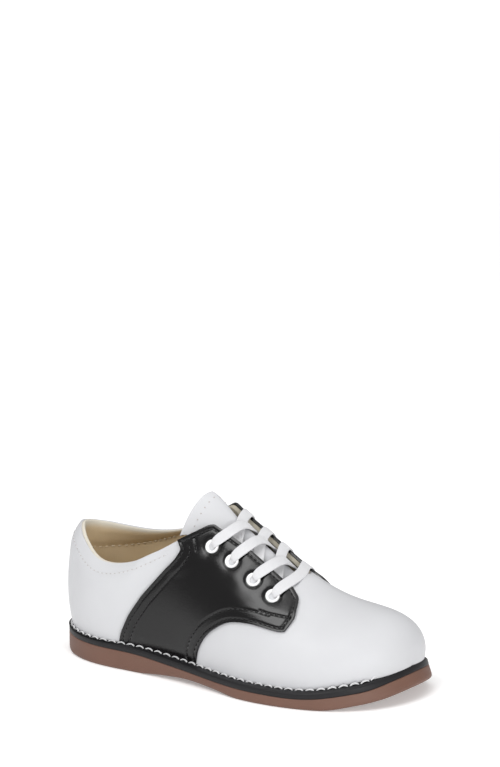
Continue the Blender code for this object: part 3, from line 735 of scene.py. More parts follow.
def make_upper():
    """White leather from the feather line up to the collar and the ridge of the vamp: skin of the last at
    stations times shares, both sides meeting at the toe, at the heel and along the ridge."""
    ball = station("ball")
    vamp = np.linspace(0, ball, VAMP_STATIONS)
    s = np.concatenate([vamp, np.linspace(ball, 1, QUARTER_STATIONS)[1:]])
    sides, tops, patches = [], [], []
    for side in SIDES.values():
        t = np.linspace(0, 1, UPPER_ROWS)[None]*white_edge(side, s)[:, None]
        below = (edge_share(side, s)[:, None]-t)*edge_scale(side, s)[:, None]
        sides.append(skin(side, s[:, None], t, -turn_in(s[:, None], below)))
        edge = white_edge(side, vamp)[:, None]
        over = edge+(1-edge)*np.linspace(0, 1, VAMP_ROWS)[None]
        tops.append(skin(side, vamp[:, None], over, vamp_relief(vamp[:, None], over, edge)))
    share_ends(sides)
    share_ridge(tops)
    for k, side in enumerate(SIDES.values()):
        patches.append(patch(sides[k], outward=np.array([0, side, 0.3])))
        patches.append(patch(tops[k], outward=UPWARD))
    upper = piece("upper_white_leather", patches, [WHITE, TAN], ["upper"], merge=MERGE)
    thicken(upper, WHITE_THICK, inner_finish=1)
    round_edges(upper, WHITE_ROUND)


# Lining with a padded collar

# Profile of the lining over the edge of the wall, from its hidden outer face to its inner face: millimetres
# below the edge and millimetres inside the skin, along the facings and then along the padded collar
ROLL = named(("flat_below", "flat_in", "padded_below", "padded_in"), (
    (6.0, 1.20, 6.0, 1.20),
    (3.0, 0.30, 3.0, 1.20),
    (0.9, 0.10, 0.9, 1.16),
    (0.5, 0.14, 0.3, 1.16),
    (0.3, 0.60, -0.05, 1.35),
    (0.3, 1.50, -0.15, 1.75),
    (0.5, 2.05, 0.2, 2.35),
    (1.1, 2.18, 1.1, 3.2),
    (2.6, 2.20, 2.8, 4.2),
    (5.0, 2.20, 5.2, 4.8),
    (8.0, 2.20, 8.2, 4.60),
    (10.6, 2.20, 10.8, 3.70),
    (12.2, 2.20, 12.4, 2.75),
    (13.0, 2.20, 13.1, 2.45),
    (14.4, 2.20, 14.4, 2.40),
))
# How large the padding is at a station, as a share of its full size
ROLL_SIZE = named(("station", "share"), (
    (0.60, 0.20),
    (0.77, 0.23),
    (0.80, 0.34),
    (0.83, 0.50),
    (0.86, 0.68),
    (0.89, 0.85),
    (0.95, 1.00),
    (1.00, 1.00),
))
LINING_IN = 2.2         # inner face of the lining where nothing pads it
LINING_FRONT = 0.352    # station where the lining runs out under the vamp
ROLL_STEPS = 3          # points to a row of the table
LINING_LOW = 0.02       # the lowest share t that its profile reaches over the edge
PALE_HIGHLIGHT_FROM, PALE_HIGHLIGHT_DEPTH = 0.3, 4.2    # how far down the padding its tint turns from pale to tan: partly stretched leather, partly a painted highlight on the roll's lit top
SEAM_BELOW = 13.0       # the seam under the padding
LINING_STATIONS = 190
HIDDEN_ROWS, INNER_ROWS = 8, 18     # rows up its hidden face and down its inner face


def roll_size(s):
    return steady(*values(ROLL_SIZE, "station", "share"), s)


def lining_profile(side, s):
    """Shares t, depths and tints of the lining's closed profile at each station: up its hidden face, over
    the edge and down its inner face."""
    at = np.linspace(0, len(ROLL)-1, ROLL_STEPS*(len(ROLL)-1)+1)
    columns = values(ROLL, "flat_below", "flat_in", "padded_below", "padded_in")
    flat_below, flat_in, padded_below, padded_in = (steady(np.arange(len(ROLL)), c, at) for c in columns)
    pad = padding(s)[:, None]
    size = roll_size(s)[:, None]
    padded_in = np.minimum(padded_in, LINING_IN)+size*np.maximum(padded_in-LINING_IN, 0)
    below = flat_below+(padded_below*size-flat_below)*pad
    inside = flat_in+(padded_in-flat_in)*pad+turn_in(s[:, None], below)
    t = np.clip(edge_share(side, s)[:, None]-below/edge_scale(side, s)[:, None], LINING_LOW, None)
    up = np.linspace(0, 1, HIDDEN_ROWS)[:-1]
    down = np.linspace(1, 0, INNER_ROWS)[1:]
    t = np.concatenate([t[:, :1]*up, t, t[:, -1:]*down], 1)
    ends = ((0, 0), (len(up), len(down)))
    inside, below = np.pad(inside, ends, "edge"), np.pad(below, ends, "edge")
    # pale tint: partly the leather stretched over the padding, partly a painted highlight on the top of the
    # roll
    pale = pad*(1-ease(below, PALE_HIGHLIGHT_FROM, PALE_HIGHLIGHT_DEPTH*size))
    # second tint: painted shade, greyer where the lining runs unpadded along the facings
    tints = np.stack([pale, np.broadcast_to(1-pad, below.shape)], -1)
    return t, inside, tints


def make_lining():
    """Tan lining all round the quarters: its profile carried from one end of the throat round the heel to
    the other."""
    s = np.linspace(LINING_FRONT, 1, LINING_STATIONS)
    grids, tints = [], []
    for side in SIDES.values():
        t, inside, tint = lining_profile(side, s)
        grids.append(skin(side, s[:, None], t, -inside))
        tints.append(tint)
    middle = (grids[0][-1]+grids[1][-1])/2
    ring = np.concatenate([grids[0][:-1], middle[None], grids[1][-2::-1]])
    uv = np.concatenate([tints[0], tints[1][-2::-1]])
    shell = patch(ring, rings=(False, True), uv=uv)
    piece("quarter_lining", [shell], [TAN], merge=MERGE, fill=True)


# Saddle

SADDLE_OUT = 1.3        # the saddle's face off the upper's skin
SADDLE_THICK = 1.24
SADDLE_ROUND = 0.4      # rounding of its cut edges
EYESTAY_RISE = 0.25     # swell of the stiffened facing
EYESTAY_UP = 0.3, 6.0   # distances from the facing's edge between which it swells
EYESTAY_DOWN = 12.0, 17.5   # and between which it is level again
EYELET_DIMPLE = 1.0     # how far an eyelet draws the leather in
DIMPLE_REACH = 5.2      # breadth of that hollow
RIM_PINCH = 0.3         # how far the ring's rim bites into the leather round it
RIM_RADIUS, RIM_BREADTH = 3.4, 0.6
HEM_LIFT = 0.35         # share of its lift that is left at the welt, where it is pulled under
HEM_HEIGHT = 6.0        # height over which it is pulled in
SADDLE_ROWS, SADDLE_ACROSS = 170, 130


def saddle_column(name, up):
    return steady(*values(SADDLE, "up", name), up)


def tab_back(side, up):
    return TAB_BACK*ease(up, *TAB_RISE) if side == MEDIAL else 0*up


def saddle_place(side, up, across):
    """Station and share t at a share up the saddle and across it from its front edge to its back edge."""
    front, back = saddle_column("front", up)+tab_back(side, up), saddle_column("back", up)
    s = front+(back-front)*across
    return s, up*edge_share(side, s)


def saddle_edge(side, first=0.0, final=3.0, count=900):
    """The saddle's edge as stations and shares: up its front from 0 to 1, along the facing to 2, down its
    back to 3."""
    way = np.linspace(first, final, count)
    up = np.where(way < 1, way, np.where(way < 2, 1.0, 3-way))
    across = np.clip(way-1, 0, 1)
    return saddle_place(side, up, across)


def nearest(points, line):
    """Distance from each point to the nearest point of a line."""
    flat = points.reshape(-1, 3)
    square = (flat**2).sum(1)[:, None]+(line**2).sum(1)[None]-2*flat @ line.T
    return np.sqrt(np.maximum(square.min(1), 0)).reshape(points.shape[:-1])


def eyelet_points(side):
    """Middle of each eyelet on the skin."""
    s, up = values(EYELETS, side_name(side), "up")
    return last(side, s, up*edge_share(side, s))


def saddle_lift(side, points):
    """Lift of the saddle's face at points of the skin: it swells along the stiffened facing, and each
    eyelet draws it in again."""
    facing = nearest(points, last(side, *saddle_edge(side, 1, 2, count=200)))
    lift = SADDLE_OUT+EYESTAY_RISE*ease(facing, *EYESTAY_UP)*(1-ease(facing, *EYESTAY_DOWN))
    for middle in eyelet_points(side):
        radius = np.linalg.norm(points-middle, axis=-1)
        lift = lift-EYELET_DIMPLE*hump(radius, 0, DIMPLE_REACH)
        lift = lift-RIM_PINCH*hump(radius, RIM_RADIUS, RIM_BREADTH)
    height = points[..., 2]-bed(points[..., 0])-WELT_RISE
    return lift*(HEM_LIFT+(1-HEM_LIFT)*ease(height, 0, HEM_HEIGHT))


# Stitch rows of the saddle: part of its edge, from and to as in saddle_edge, then millimetres in from the
# edge
ROWS = named(("first", "final", "inset"), (
    (0.02, 0.535, 1.5),
    (0.02, 0.500, 5.6),
    (0.565, 2.0, 1.9),
    (2.03, 2.985, 1.5),
    (2.10, 2.985, 4.8),
))
# Short rows that cross the saddle, by the stations and shares up of their two ends: across the tab's lower
# corner, which moves with the tab, and down beside the collar
SHORT_ROWS = named(("first", "first_up", "final", "final_up", "on_tab"), (
    (0.405, 0.612, 0.343, 0.690, 1),
    (0.612, 0.930, 0.596, 0.775, 0),
))
GROOVE = 0.28           # depth of the channel that a row of stitches pulls into the leather
GROOVE_BREADTH = 0.55
HOLE_DEPTH = 2.4        # how far the leather is pushed in at an eyelet's hole
HOLE_FLOOR, HOLE_RIM = 1.5, 2.4     # radii of that hollow's floor and rim
SADDLE_MIDDLE = 0.5, 0.55           # share up and share across of a point amid the saddle
ROW_CLEAR = 0.9         # a row's points nearer the edge than this share of its inset are left out
ROW_POINTS, SHORT_POINTS = 500, 60  # points along a stitch row


def inward(side, s, t, distance, toward, steps=6):
    """Moves a line on the skin sideways over the skin by distance, to the side where toward lies: at each
    step the way square to the line is solved for its parts along s and along t."""
    for _ in range(steps):
        along, upward = slopes(side, s, t)
        line = along*np.gradient(s)[:, None]+upward*np.gradient(t)[:, None]
        across = unit(np.cross(normal(side, s, t), line))
        here = last(side, s, t)
        across = across*np.sign((across*(toward-here)).sum(-1).mean())
        e, f, g = (along*along).sum(-1), (along*upward).sum(-1), (upward*upward).sum(-1)
        p, q = (across*along).sum(-1), (across*upward).sum(-1)
        area = e*g-f*f
        s = s+distance/steps*(p*g-q*f)/area
        t = t+distance/steps*(q*e-p*f)/area
    return s, t


def saddle_rows(side):
    """Stations and shares of each stitch row on a saddle."""
    border = last(side, *saddle_edge(side))
    middle = last(side, *saddle_place(side, *np.array(SADDLE_MIDDLE)[:, None]))
    found = []
    for row in ROWS:
        s, t = saddle_edge(side, row["first"], row["final"], ROW_POINTS)
        s, t = inward(side, s, t, row["inset"], middle)
        clear = nearest(last(side, s, t), border) > ROW_CLEAR*row["inset"]
        found.append((s[clear], t[clear]))
    for row in SHORT_ROWS:
        up = np.linspace(row["first_up"], row["final_up"], SHORT_POINTS)
        s = np.linspace(row["first"], row["final"], SHORT_POINTS)+tab_back(side, up)*row["on_tab"]
        found.append((s, up*edge_share(side, s)))
    return found


def make_saddle(name, side):
    """Black overlay: skin of the last between the saddle's front and back edges, lifted by saddle_lift,
    less the channels under its stitches and the hole at each eyelet."""
    up = np.linspace(0, 1, SADDLE_ROWS)
    across = np.linspace(0, 1, SADDLE_ACROSS)
    s, t = saddle_place(side, up[:, None], across[None])
    points = last(side, s, t)
    lift = saddle_lift(side, points)
    for row in saddle_rows(side):
        lift = lift-GROOVE*hump(nearest(points, last(side, *row)), 0, GROOVE_BREADTH)
    for middle in eyelet_points(side):
        lift = lift-HOLE_DEPTH*(1-ease(np.linalg.norm(points-middle, axis=-1), HOLE_FLOOR, HOLE_RIM))
    out = normal(side, s, t)
    face = patch(points+lift[..., None]*out, outward=out)
    saddle = piece("saddle_leather_"+name, [face], [BLACK], ["saddle_"+name])
    thicken(saddle, SADDLE_THICK)
    round_edges(saddle, SADDLE_ROUND)


# Stitches

# Each kind's spacing, its length and its thread's breadth, how high its middle lies and how deep its ends
# go, and how far it is bowed sideways
STITCH_COLUMNS = ("pitch", "length", "breadth", "height", "sink", "bow")
STITCHES = {
    "saddle":      (2.3, 1.75, 0.55, 0.12, 0.35, 0.0),
    "tab_corner":  (2.3, 1.75, 0.75, 0.12, 0.35, 0.0),
    "collar":      (2.4, 1.7,  0.42, 0.02, 0.2,  0.0),
    # the two hole kinds are grey dots of painted shade for needle holes, not thread
    "collar_hole_shade": (2.4, 0.5,  0.45, 0.03, 0.1,  0.0),
    "lining_seam": (3.0, 2.1,  0.7,  0.2,  0.4,  0.0),
    "tongue_hole_shade": (3.1, 0.6,  0.6,  0.05, 0.12, 0.0),
    "welt":        (4.9, 4.7,  0.95, 0.42, 0.5,  -0.55),
}
THREAD_FLAT = 0.8       # a stitch's thickness as a share of its breadth
STITCH_STEPS, STITCH_SIDES = 9, 8


def along_line(line, *others):
    """Length run along a line of points, and a function that reads the line and its companions at given
    lengths."""
    way = np.concatenate([[0], np.cumsum(np.linalg.norm(np.diff(line, axis=0), axis=1))])

    def read(at):
        return [np.stack([np.interp(at, way, c) for c in each.T], -1) for each in (line, *others)]
    return way[-1], read


def stitches(line, out, kind):
    """Stack of stitches along a line with the surface's normals: each is a tube that comes out of the
    surface, lies on it and goes in again, tapered at both ends and bowed sideways. The pitch is fitted to
    the line."""
    size = dict(zip(STITCH_COLUMNS, STITCHES[kind]))
    length, breadth = size["length"], size["breadth"]
    total, read = along_line(line, out)
    count = max(round(total/size["pitch"]), 1)
    middles = np.arange(0.5, count)*total/count
    u = np.linspace(-1, 1, STITCH_STEPS)
    at = middles[:, None]+u[None]*length/2
    path, face = read(at)
    face = unit(face)
    tangent = unit(np.gradient(path, axis=1))
    side = unit(np.cross(face, tangent))
    arch = 1-u**2
    rise = size["sink"]*(arch-1)+size["height"]*arch
    path = path+face*rise[None, :, None]+side*(size["bow"]*arch)[None, :, None]
    full = np.sqrt(np.clip(1-np.abs(u)**6, 0, 1))
    angle = np.linspace(0, 2*np.pi, STITCH_SIDES, endpoint=False)
    ring = (np.cos(angle)[None, :, None]*breadth/2*side[:, :, None]
            + np.sin(angle)[None, :, None]*breadth/2*THREAD_FLAT*face[:, :, None])
    points = path[:, :, None]+ring*full[None, :, None, None]
    uv = np.stack(np.broadcast_arrays((u*length/2)[None, :, None], (angle*breadth/2)[None, None, :]), -1)
    return patch(points, rings=(False, True), uv=np.broadcast_to(uv, (*points.shape[:3], 2)))


def sew(name, rows, thread):
    """Piece made of rows of stitches in one thread."""
    piece(name, rows, [thread], merge=THREAD_MERGE)


THREAD_LIFT = 0.12      # a thread's middle over its channel's floor


def make_saddle_stitches(name, side):
    """Black thread in each row of a saddle, lying in its channel."""
    found = []
    for number, (s, t) in enumerate(saddle_rows(side)):
        points, out = last(side, s, t), normal(side, s, t)
        lift = saddle_lift(side, points)-GROOVE+THREAD_LIFT
        kind = "tab_corner" if number == len(ROWS) else "saddle"
        found.append(stitches(points+lift[:, None]*out, out, kind))
    sew("saddle_stitches_"+name, found, BLACK_THREAD)


COLLAR_ROW_BELOW = 5.0  # the stitch row under the collar's edge
COLLAR_ROW_FIRST = 0.668    # station where it comes out from under the saddle
SEAM_FIRST = 0.785      # station where the padding's seam begins
SEAM_IN = 2.5           # that seam's thread inside the skin
HOLES_ON = 1.2          # needle holes lie this far on from the ends of a row, between its stitches


def collar_line(depth, lift, first):
    """Line round the quarters at depth(station) below the collar's edge, from side to side, with its
    normals."""
    s = np.linspace(first, 1, num=300)
    below = depth(s)
    found = []
    for side in SIDES.values():
        t = edge_share(side, s)-below/edge_scale(side, s)
        found.append((skin(side, s, t, lift-turn_in(s, below)), normal(side, s, t)))
    return [np.concatenate([found[0][k][:-1], found[1][k][::-1]]) for k in (0, 1)]


def make_collar_stitches():
    """White thread under the collar's edge, with grey dots of painted shade for the needle's holes, and pale
    thread along the padding's seam."""
    line, out = collar_line(lambda s: COLLAR_ROW_BELOW+0*s, 0.0, COLLAR_ROW_FIRST)
    sew("collar_stitches", [stitches(line, out, "collar")], WHITE_THREAD)
    total, read = along_line(line, out)
    holes = stitches(*read(np.linspace(HOLES_ON, total-HOLES_ON, num=900)), "collar_hole_shade")
    sew("collar_needle_hole_shade", [holes], HOLE_SHADE)
    line, out = collar_line(lambda s: SEAM_BELOW*roll_size(s), -SEAM_IN, SEAM_FIRST)
    sew("lining_seam_stitches", [stitches(line, -out, "lining_seam")], PALE_THREAD)


# Eyelets

# Turned profile of an eyelet ring: radius, and height over the leather
RING = named(("radius", "height"), (
    (1.72, -1.6),
    (1.75, -0.3),
    (1.92, 0.3),
    (2.2,  0.7),
    (2.58, 0.92),
    (2.9,  0.8),
    (3.1,  0.42),
    (3.12, 0.02),
    (2.7,  -0.15),
    (2.15, -0.3),
    (2.1,  -1.6),
))
RING_STEPS = 40
RING_FINER = 4          # points to a row of the profile
RING_LIFT = 0.05        # the rings' foot over the leather


def make_eyelets(name, side):
    """White rings, each a closed profile turned round the skin's normal at its eyelet."""
    at = np.linspace(0, len(RING), RING_FINER*len(RING)+1)[:-1]
    columns = values(RING+RING[:1], "radius", "height")
    radius, height = (steady(np.arange(len(RING)+1), c, at) for c in columns)
    angle = np.linspace(0, 2*np.pi, RING_STEPS, endpoint=False)
    s, up = values(EYELETS, name, "up")
    t = up*edge_share(side, s)
    middles, out = last(side, s, t), normal(side, s, t)
    middles = middles+(saddle_lift(side, middles)+RING_LIFT)[:, None]*out
    for number, (middle, axis) in enumerate(zip(middles, out)):
        x = unit(np.cross(axis, UPWARD))
        y = np.cross(axis, x)
        turn = np.cos(angle)[:, None]*x+np.sin(angle)[:, None]*y
        points = middle+radius[None, :, None]*turn[:, None]+height[None, :, None]*axis
        piece(f"eyelet_ring_{name}_{number+1}", [patch(points, rings=(True, True))], [ENAMEL],
              [f"eyelet_{name}_{number+1}"])


# Tongue

TONGUE_THICK = 2.0
TONGUE_ROUND = 0.6      # rounding of its edges
TONGUE_LOW = 0.55       # share t of its side edges
# Its free end: share t, and the station it reaches there; it sits askew, further back on the lateral side
TONGUE_END = named(("up", "lateral", "medial"), (
    (0.55, 0.668, 0.600),
    (0.64, 0.668, 0.603),
    (0.72, 0.666, 0.608),
    (0.80, 0.662, 0.615),
    (0.88, 0.657, 0.628),
    (0.95, 0.651, 0.640),
    (1.00, 0.646, 0.646),
))
RIDGE_CLEAR = 0.04      # share left free of points beside the ridge, where lines off the skin would cross
# How deep under the skin it lies, at stations from its hidden front end
TONGUE = named(("station", "depth"), (
    (0.345, 2.75),
    (0.370, 2.80),
    (0.396, 5.20),
    (0.530, 5.40),
    (0.600, 4.70),
    (0.670, 4.00),
))
TONGUE_LENGTH = 66.0
TONGUE_HOLES_IN = 6.0   # needle holes inside its free edge
TONGUE_ROWS, TONGUE_ACROSS = 120, 42


def tongue_depth(s):
    return steady(*values(TONGUE, "station", "depth"), s)


def tongue_grid(share, up):
    """Points of the tongue over both sides, from its lateral edge over the ridge to its medial edge, at
    shares of its length."""
    first = TONGUE[0]["station"]
    grids = []
    for name, side in SIDES.items():
        end = steady(*values(TONGUE_END, "up", name), up)
        s = first+share[:, None]*(end-first)[None]
        grids.append(skin(side, s, up[None], -tongue_depth(s)))
    share_ridge(grids)
    return np.concatenate([grids[0], grids[1][:, -2::-1]], 1)


def make_tongue():
    """White leather strip below the facings, lined with tan, with grey dots of painted shade for needle holes
    along its free end.
    """
    up = np.append(np.linspace(TONGUE_LOW, 1-RIDGE_CLEAR, TONGUE_ACROSS), 1)
    face = patch(tongue_grid(np.linspace(0, 1, TONGUE_ROWS), up), outward=UPWARD)
    tongue = piece("tongue_leather", [face], [WHITE, TAN], ["tongue"])
    thicken(tongue, TONGUE_THICK, inner_finish=1)
    round_edges(tongue, TONGUE_ROUND)
    rows = tongue_grid(1-(TONGUE_HOLES_IN+np.array([1, 0, -1]))/TONGUE_LENGTH, up)
    out = unit(np.cross(np.gradient(rows, axis=1)[1], np.gradient(rows, axis=0)[1]))
    out = out*np.sign(out[:, 2:])
    sew("tongue_needle_hole_shade", [stitches(rows[1], out, "tongue_hole_shade")], HOLE_SHADE)


# Laces

LACE_WIDTH = 5.0
LACE_THICK = 0.95
BORE_WIDTH = 2.7        # the tape gathers to this to go through an eyelet
BORE_THICK = 1.1
# One band of a crossing: 0 on its own eyelet's side and 1 on the other, share of the way down to the next
# eyelet for a band that starts on the lateral side and for one that starts on the medial side, share of the
# way on from the eyelet to the facing's edge, past 1 over the gap, lift off the skin, and how far it is
# gathered
BAND = named(("far", "lateral", "medial", "on", "lift", "gathered"), (
    (0, 0.00, 0.00, 0.07, -0.6, 1.0),
    (0, 0.02, 0.00, 0.10, 0.8, 0.8),
    (0, 0.12, 0.02, 0.30, 1.95, 0.2),
    (0, 0.28, 0.05, 0.68, 1.95, 0.0),
    (0, 0.42, 0.08, 1.15, 1.2, 0.0),
    (0, 0.68, 0.42, 2.80, -3.3, 0.0),
    (1, 0.84, 0.72, 1.20, -3.5, 0.0),
    (1, 0.91, 0.86, 0.60, -3.3, 0.1),
    (1, 0.98, 0.97, 0.00, -3.1, 0.7),
    (1, 1.00, 1.00, 0.00, -1.6, 1.0),
))
OVER_GAP = 2.0          # past this share on, a band is over the gap, where the two cross
CROSS_DROP = 1.0        # the medial band lies this much lower there
# The bar over the lowest pair, from one eyelet to the middle: how far ahead of the eyelet it lies on each
# side, as a station, then as for a band
BAR = named(("lateral", "medial", "on", "lift", "gathered"), (
    (0.000, 0.000, 0.07, -0.6, 1.0),
    (0.0005, 0.000, 0.10, 0.8, 0.8),
    (0.003, 0.001, 0.30, 1.95, 0.2),
    (0.006, 0.003, 0.70, 1.8, 0.0),
    (0.009, 0.005, 1.15, 1.0, 0.0),
    (0.006, 0.021, 2.80, -1.2, 0.0),
))
LACE_STEPS, LACE_SIDES = 90, 28
LACE_SQUARE = 0.55      # power that squares the tape's section: 1 is an ellipse, 0 an oblong


def tape(places):
    """Flat tape along a smooth path through places, each a side, a station, a share t, a lift and how far
    it is gathered: a rounded oblong carried square to the path, with its face along the skin's normal."""
    side, s, t, lift, gathered = (np.array(c, float) for c in zip(*places))
    points, normals = np.empty((len(s), 3)), np.empty((len(s), 3))
    for d in SIDES.values():
        mine = side == d
        points[mine] = skin(d, s[mine], t[mine], lift[mine])
        normals[mine] = normal(d, s[mine], t[mine])
    way = np.concatenate([[0], np.cumsum(np.linalg.norm(np.diff(points, axis=0), axis=1))])
    even = np.linspace(0, way[-1], LACE_STEPS)
    path = np.stack([spline(way, c, even) for c in points.T], -1)
    face = np.stack([spline(way, c, even) for c in normals.T], -1)
    tangent = unit(np.gradient(path, axis=0))
    face = unit(face-(face*tangent).sum(-1, keepdims=True)*tangent)
    breadth = np.cross(tangent, face)
    tight = steady(way, gathered, even)
    half_width = (LACE_WIDTH+(BORE_WIDTH-LACE_WIDTH)*tight)/2
    half_thick = (LACE_THICK+(BORE_THICK-LACE_THICK)*tight)/2
    angle = np.linspace(0, 2*np.pi, LACE_SIDES, endpoint=False)
    across, over = (np.sign(c)*np.abs(c)**LACE_SQUARE for c in (np.cos(angle), np.sin(angle)))
    grid = (path[:, None]+(half_width[:, None]*across)[..., None]*breadth[:, None]
            + (half_thick[:, None]*over)[..., None]*face[:, None])
    uv = np.stack([np.broadcast_to(even[:, None], grid.shape[:2]), LACE_WIDTH/2*across+0*even[:, None]], -1)
    return patch(grid, rings=(False, True), uv=uv)


def lace_share(side, s, eyelet, on):
    """Share t of a lace's point, on from its eyelet towards the facing's edge; the ridge is the last."""
    return min((eyelet["up"]+(1-eyelet["up"])*on)*edge_share(side, s), 1.0)


def band_places(number, side, drop):
    """Places of one band of a crossing, from its eyelet down to the next eyelet of the other side."""
    own, other = EYELETS[number], EYELETS[number-1]
    name = side_name(side)
    found = []
    for row in BAND:
        d = -side if row["far"] else side
        s = own[name]+(other[side_name(-side)]-own[name])*row[name]
        t = lace_share(d, s, other if row["far"] else own, row["on"])
        found.append((d, s, t, row["lift"]-drop*(row["on"] > OVER_GAP), row["gathered"]))
    return found


def make_laces():
    """White tape: the bar over the lowest eyelets, and two crossing bands between each pair and the next."""
    half = {}
    for name, side in SIDES.items():
        stations = [EYELETS[0][name]-row[name] for row in BAR]
        half[name] = [(side, s, lace_share(side, s, EYELETS[0], row["on"]), row["lift"], row["gathered"])
                      for s, row in zip(stations, BAR)]
    bar = tape(half["lateral"]+half["medial"][-2::-1])
    piece("lace_tape_bar", [bar], [TAPE], ["lace_bar"], merge=LACE_MERGE, fill=True)
    for number in range(1, len(EYELETS)):
        bands = [tape(band_places(number, LATERAL, 0)), tape(band_places(number, MEDIAL, CROSS_DROP))]
        piece(f"lace_tape_cross_{number}", bands, [TAPE], [f"lace_cross_{number}"],
              merge=LACE_MERGE, fill=True)


# Sole, welt and insole

# Side of the outsole, in millimetres in from its edge: its upper edge, from the bed, and its lower edge,
# from the underside
EDGE_TOP = named(("inset", "rise"), (
    (3.0,  0.0),
    (0.45, 0.0),
    (0.1,  -0.12),
    (0.0,  -0.5),
))
EDGE_LOW = named(("inset", "rise"), (
    (0.0,  1.9),
    (0.06, 1.2),
    (0.28, 0.62),
    (0.7,  0.22),
    (1.3,  0.0),
    (3.0,  0.0),
))
SIDE_ROWS = 6           # rows down the flat of the side
UNDER_ROWS = 12         # rows across the underside and across the bed
SOLE_STATIONS, WELT_STATIONS, WELT_ROW_STATIONS, INSOLE_STATIONS = 300, 260, 900, 140
SOLE_MERGE = 0.02       # points of the sole nearer than this are one
LEAN_SPAN = 0.2, 0.42   # places between which the sole's wall begins to lean back, as shares of LENGTH


def ends_finer(count, finer=0.25):
    """Stations from 0 to 1, closer together at both ends: an even run mixed with a share of a cosine."""
    u = np.linspace(0, 1, count)
    return (1-finer)*u+finer*(1-np.cos(np.pi*u))/2


def on_sole(side, s, inset, rise, base=bed, level=0.0):
    """Points in from the sole's edge by inset, over the bed or another height by rise, and moved back at
    the toe, where the sole's wall stands square to its bed. Level 1 keeps them at the height that the bed
    has at the edge."""
    x, y = np.moveaxis(sole_edge(side, s, inset), -1, 0)
    z = base(x)+level*(bed(sole_edge(side, s)[..., 0])-bed(x))+rise
    turn = np.clip((bed(x+1)-bed(x-1))/2, 0, None)
    return np.stack([x-turn*ease(x/LENGTH, *LEAN_SPAN)*(z-underside(x)), y, z], -1)


def sole_side(side, s):
    """One side of the outsole's section, from the top in to the bottom in, as a list of lines."""
    top = [on_sole(side, s, row["inset"], row["rise"]) for row in EDGE_TOP]
    low = [on_sole(side, s, row["inset"], row["rise"], underside) for row in EDGE_LOW]
    flat = [top[-1]+(low[0]-top[-1])*w for w in np.linspace(0, 1, SIDE_ROWS+2)[1:-1]]
    return [*top, *flat, *low]


def make_outsole():
    """Brown rubber sole: at each station one closed section down the lateral edge, across under the foot,
    up the medial edge and back across the bed."""
    s = ends_finer(SOLE_STATIONS)
    lateral, medial = sole_side(LATERAL, s), sole_side(MEDIAL, s)
    across = np.linspace(0, 1, UNDER_ROWS+2)[1:-1]
    under = [lateral[-1]+(medial[-1]-lateral[-1])*w for w in across]
    over = [medial[0]+(lateral[0]-medial[0])*w for w in across]
    ring = np.stack([*lateral, *under, *medial[::-1], *over], 1)
    body = patch(ring, rings=(False, True))
    piece("outsole_rubber", [body], [RUBBER], ["outsole"], merge=SOLE_MERGE)


# Section of the welt: how far in, as millimetres from the sole's edge plus a share of its bare breadth, its
# height over the bed and its share of the lip that rises round the toe
WELT_SECTION = named(("inset", "share", "rise", "lip"), (
    (0.12, 0.0, 0.03, 0.0),
    (0.0,  0.0, 0.5,  0.0),
    (0.0,  0.0, 1.4,  0.0),
    (0.0,  0.0, 2.05, 0.0),
    (0.12, 0.0, 2.4,  0.0),
    (0.5,  0.0, 2.65, 0.15),
    (0.9,  0.0, 2.75, 0.4),
    (-1.9, 1.0, 3.0,  0.95),
    (-1.3, 1.0, 2.95, 1.0),
    (-0.7, 1.0, 3.0,  1.0),
    (0.3,  1.0, 3.1,  1.0),
    (2.2,  1.0, 3.0,  0.0),
    (2.8,  1.0, 2.5,  0.0),
    (2.8,  1.0, 0.03, 0.0),
))
WELT_LIP = 1.0          # the lip's rise at the tip of the toe
LIP_SPAN = 0.1, 0.34    # stations between which it fades out
WELT_ROW_OUT = 1.0      # the welt's stitches outside the feather line
WELT_ROW_TOE = 2.2      # how much further out they are at the toe, clear of the upper's bulge
WELT_ROW_RISE = 3.12    # their height over the bed
WELT_ROW_LIP = 0.45     # their share of the lip's rise
WELT_ROW_LEAN = 0.7     # how far they turn outward at the toe, to a unit upward


def welt_lip(s):
    """Rise of the welt's inner lip, which stands up round the toe."""
    return WELT_LIP*(1-ease(s, *LIP_SPAN))


def make_welt():
    """Black strip between the outsole and the upper: its section carried once round the sole."""
    s = ends_finer(WELT_STATIONS)
    show, lip = welt_show(s), welt_lip(s)
    rings = []
    for side in SIDES.values():
        rings.append(np.stack([on_sole(side, s, row["inset"]+row["share"]*show, row["rise"]+row["lip"]*lip,
                                       level=row["lip"]) for row in WELT_SECTION], 1))
    ring = np.concatenate([rings[0], rings[1][-2:0:-1]])
    piece("welt_strip", [patch(ring, rings=(True, True))], [WELT], ["welt"])


def make_welt_stitches():
    """White lockstitches on the welt beside the upper, each bowed outward between its two holes."""
    s = ends_finer(WELT_ROW_STATIONS)
    toe = welt_lip(s)/WELT_LIP
    lines, faces = [], []
    for side in SIDES.values():
        lines.append(on_sole(side, s, welt_show(s)-WELT_ROW_OUT-WELT_ROW_TOE*toe,
                             WELT_ROW_RISE+WELT_ROW_LIP*welt_lip(s), level=1.0))
        lean = WELT_ROW_LEAN*toe[:, None]*sole_outward(side, s)
        faces.append(np.concatenate([lean, np.ones((len(s), 1))], -1))
    line = np.concatenate([lines[0], lines[1][-2::-1]])
    out = unit(np.concatenate([faces[0], faces[1][-2::-1]]))
    sew("welt_stitches", [stitches(line, out, "welt")], WHITE_THREAD)


INSOLE_IN = 3.1         # inside the feather line
INSOLE_RISE = 2.9       # its face over the bed
INSOLE_THICK = 1.6
INSOLE_DISH = 0.8       # how far it is hollowed along its middle
DISH_WIDTH = 30.0       # breadth of the foot at which it is hollowed fully
INSOLE_ROWS = 40


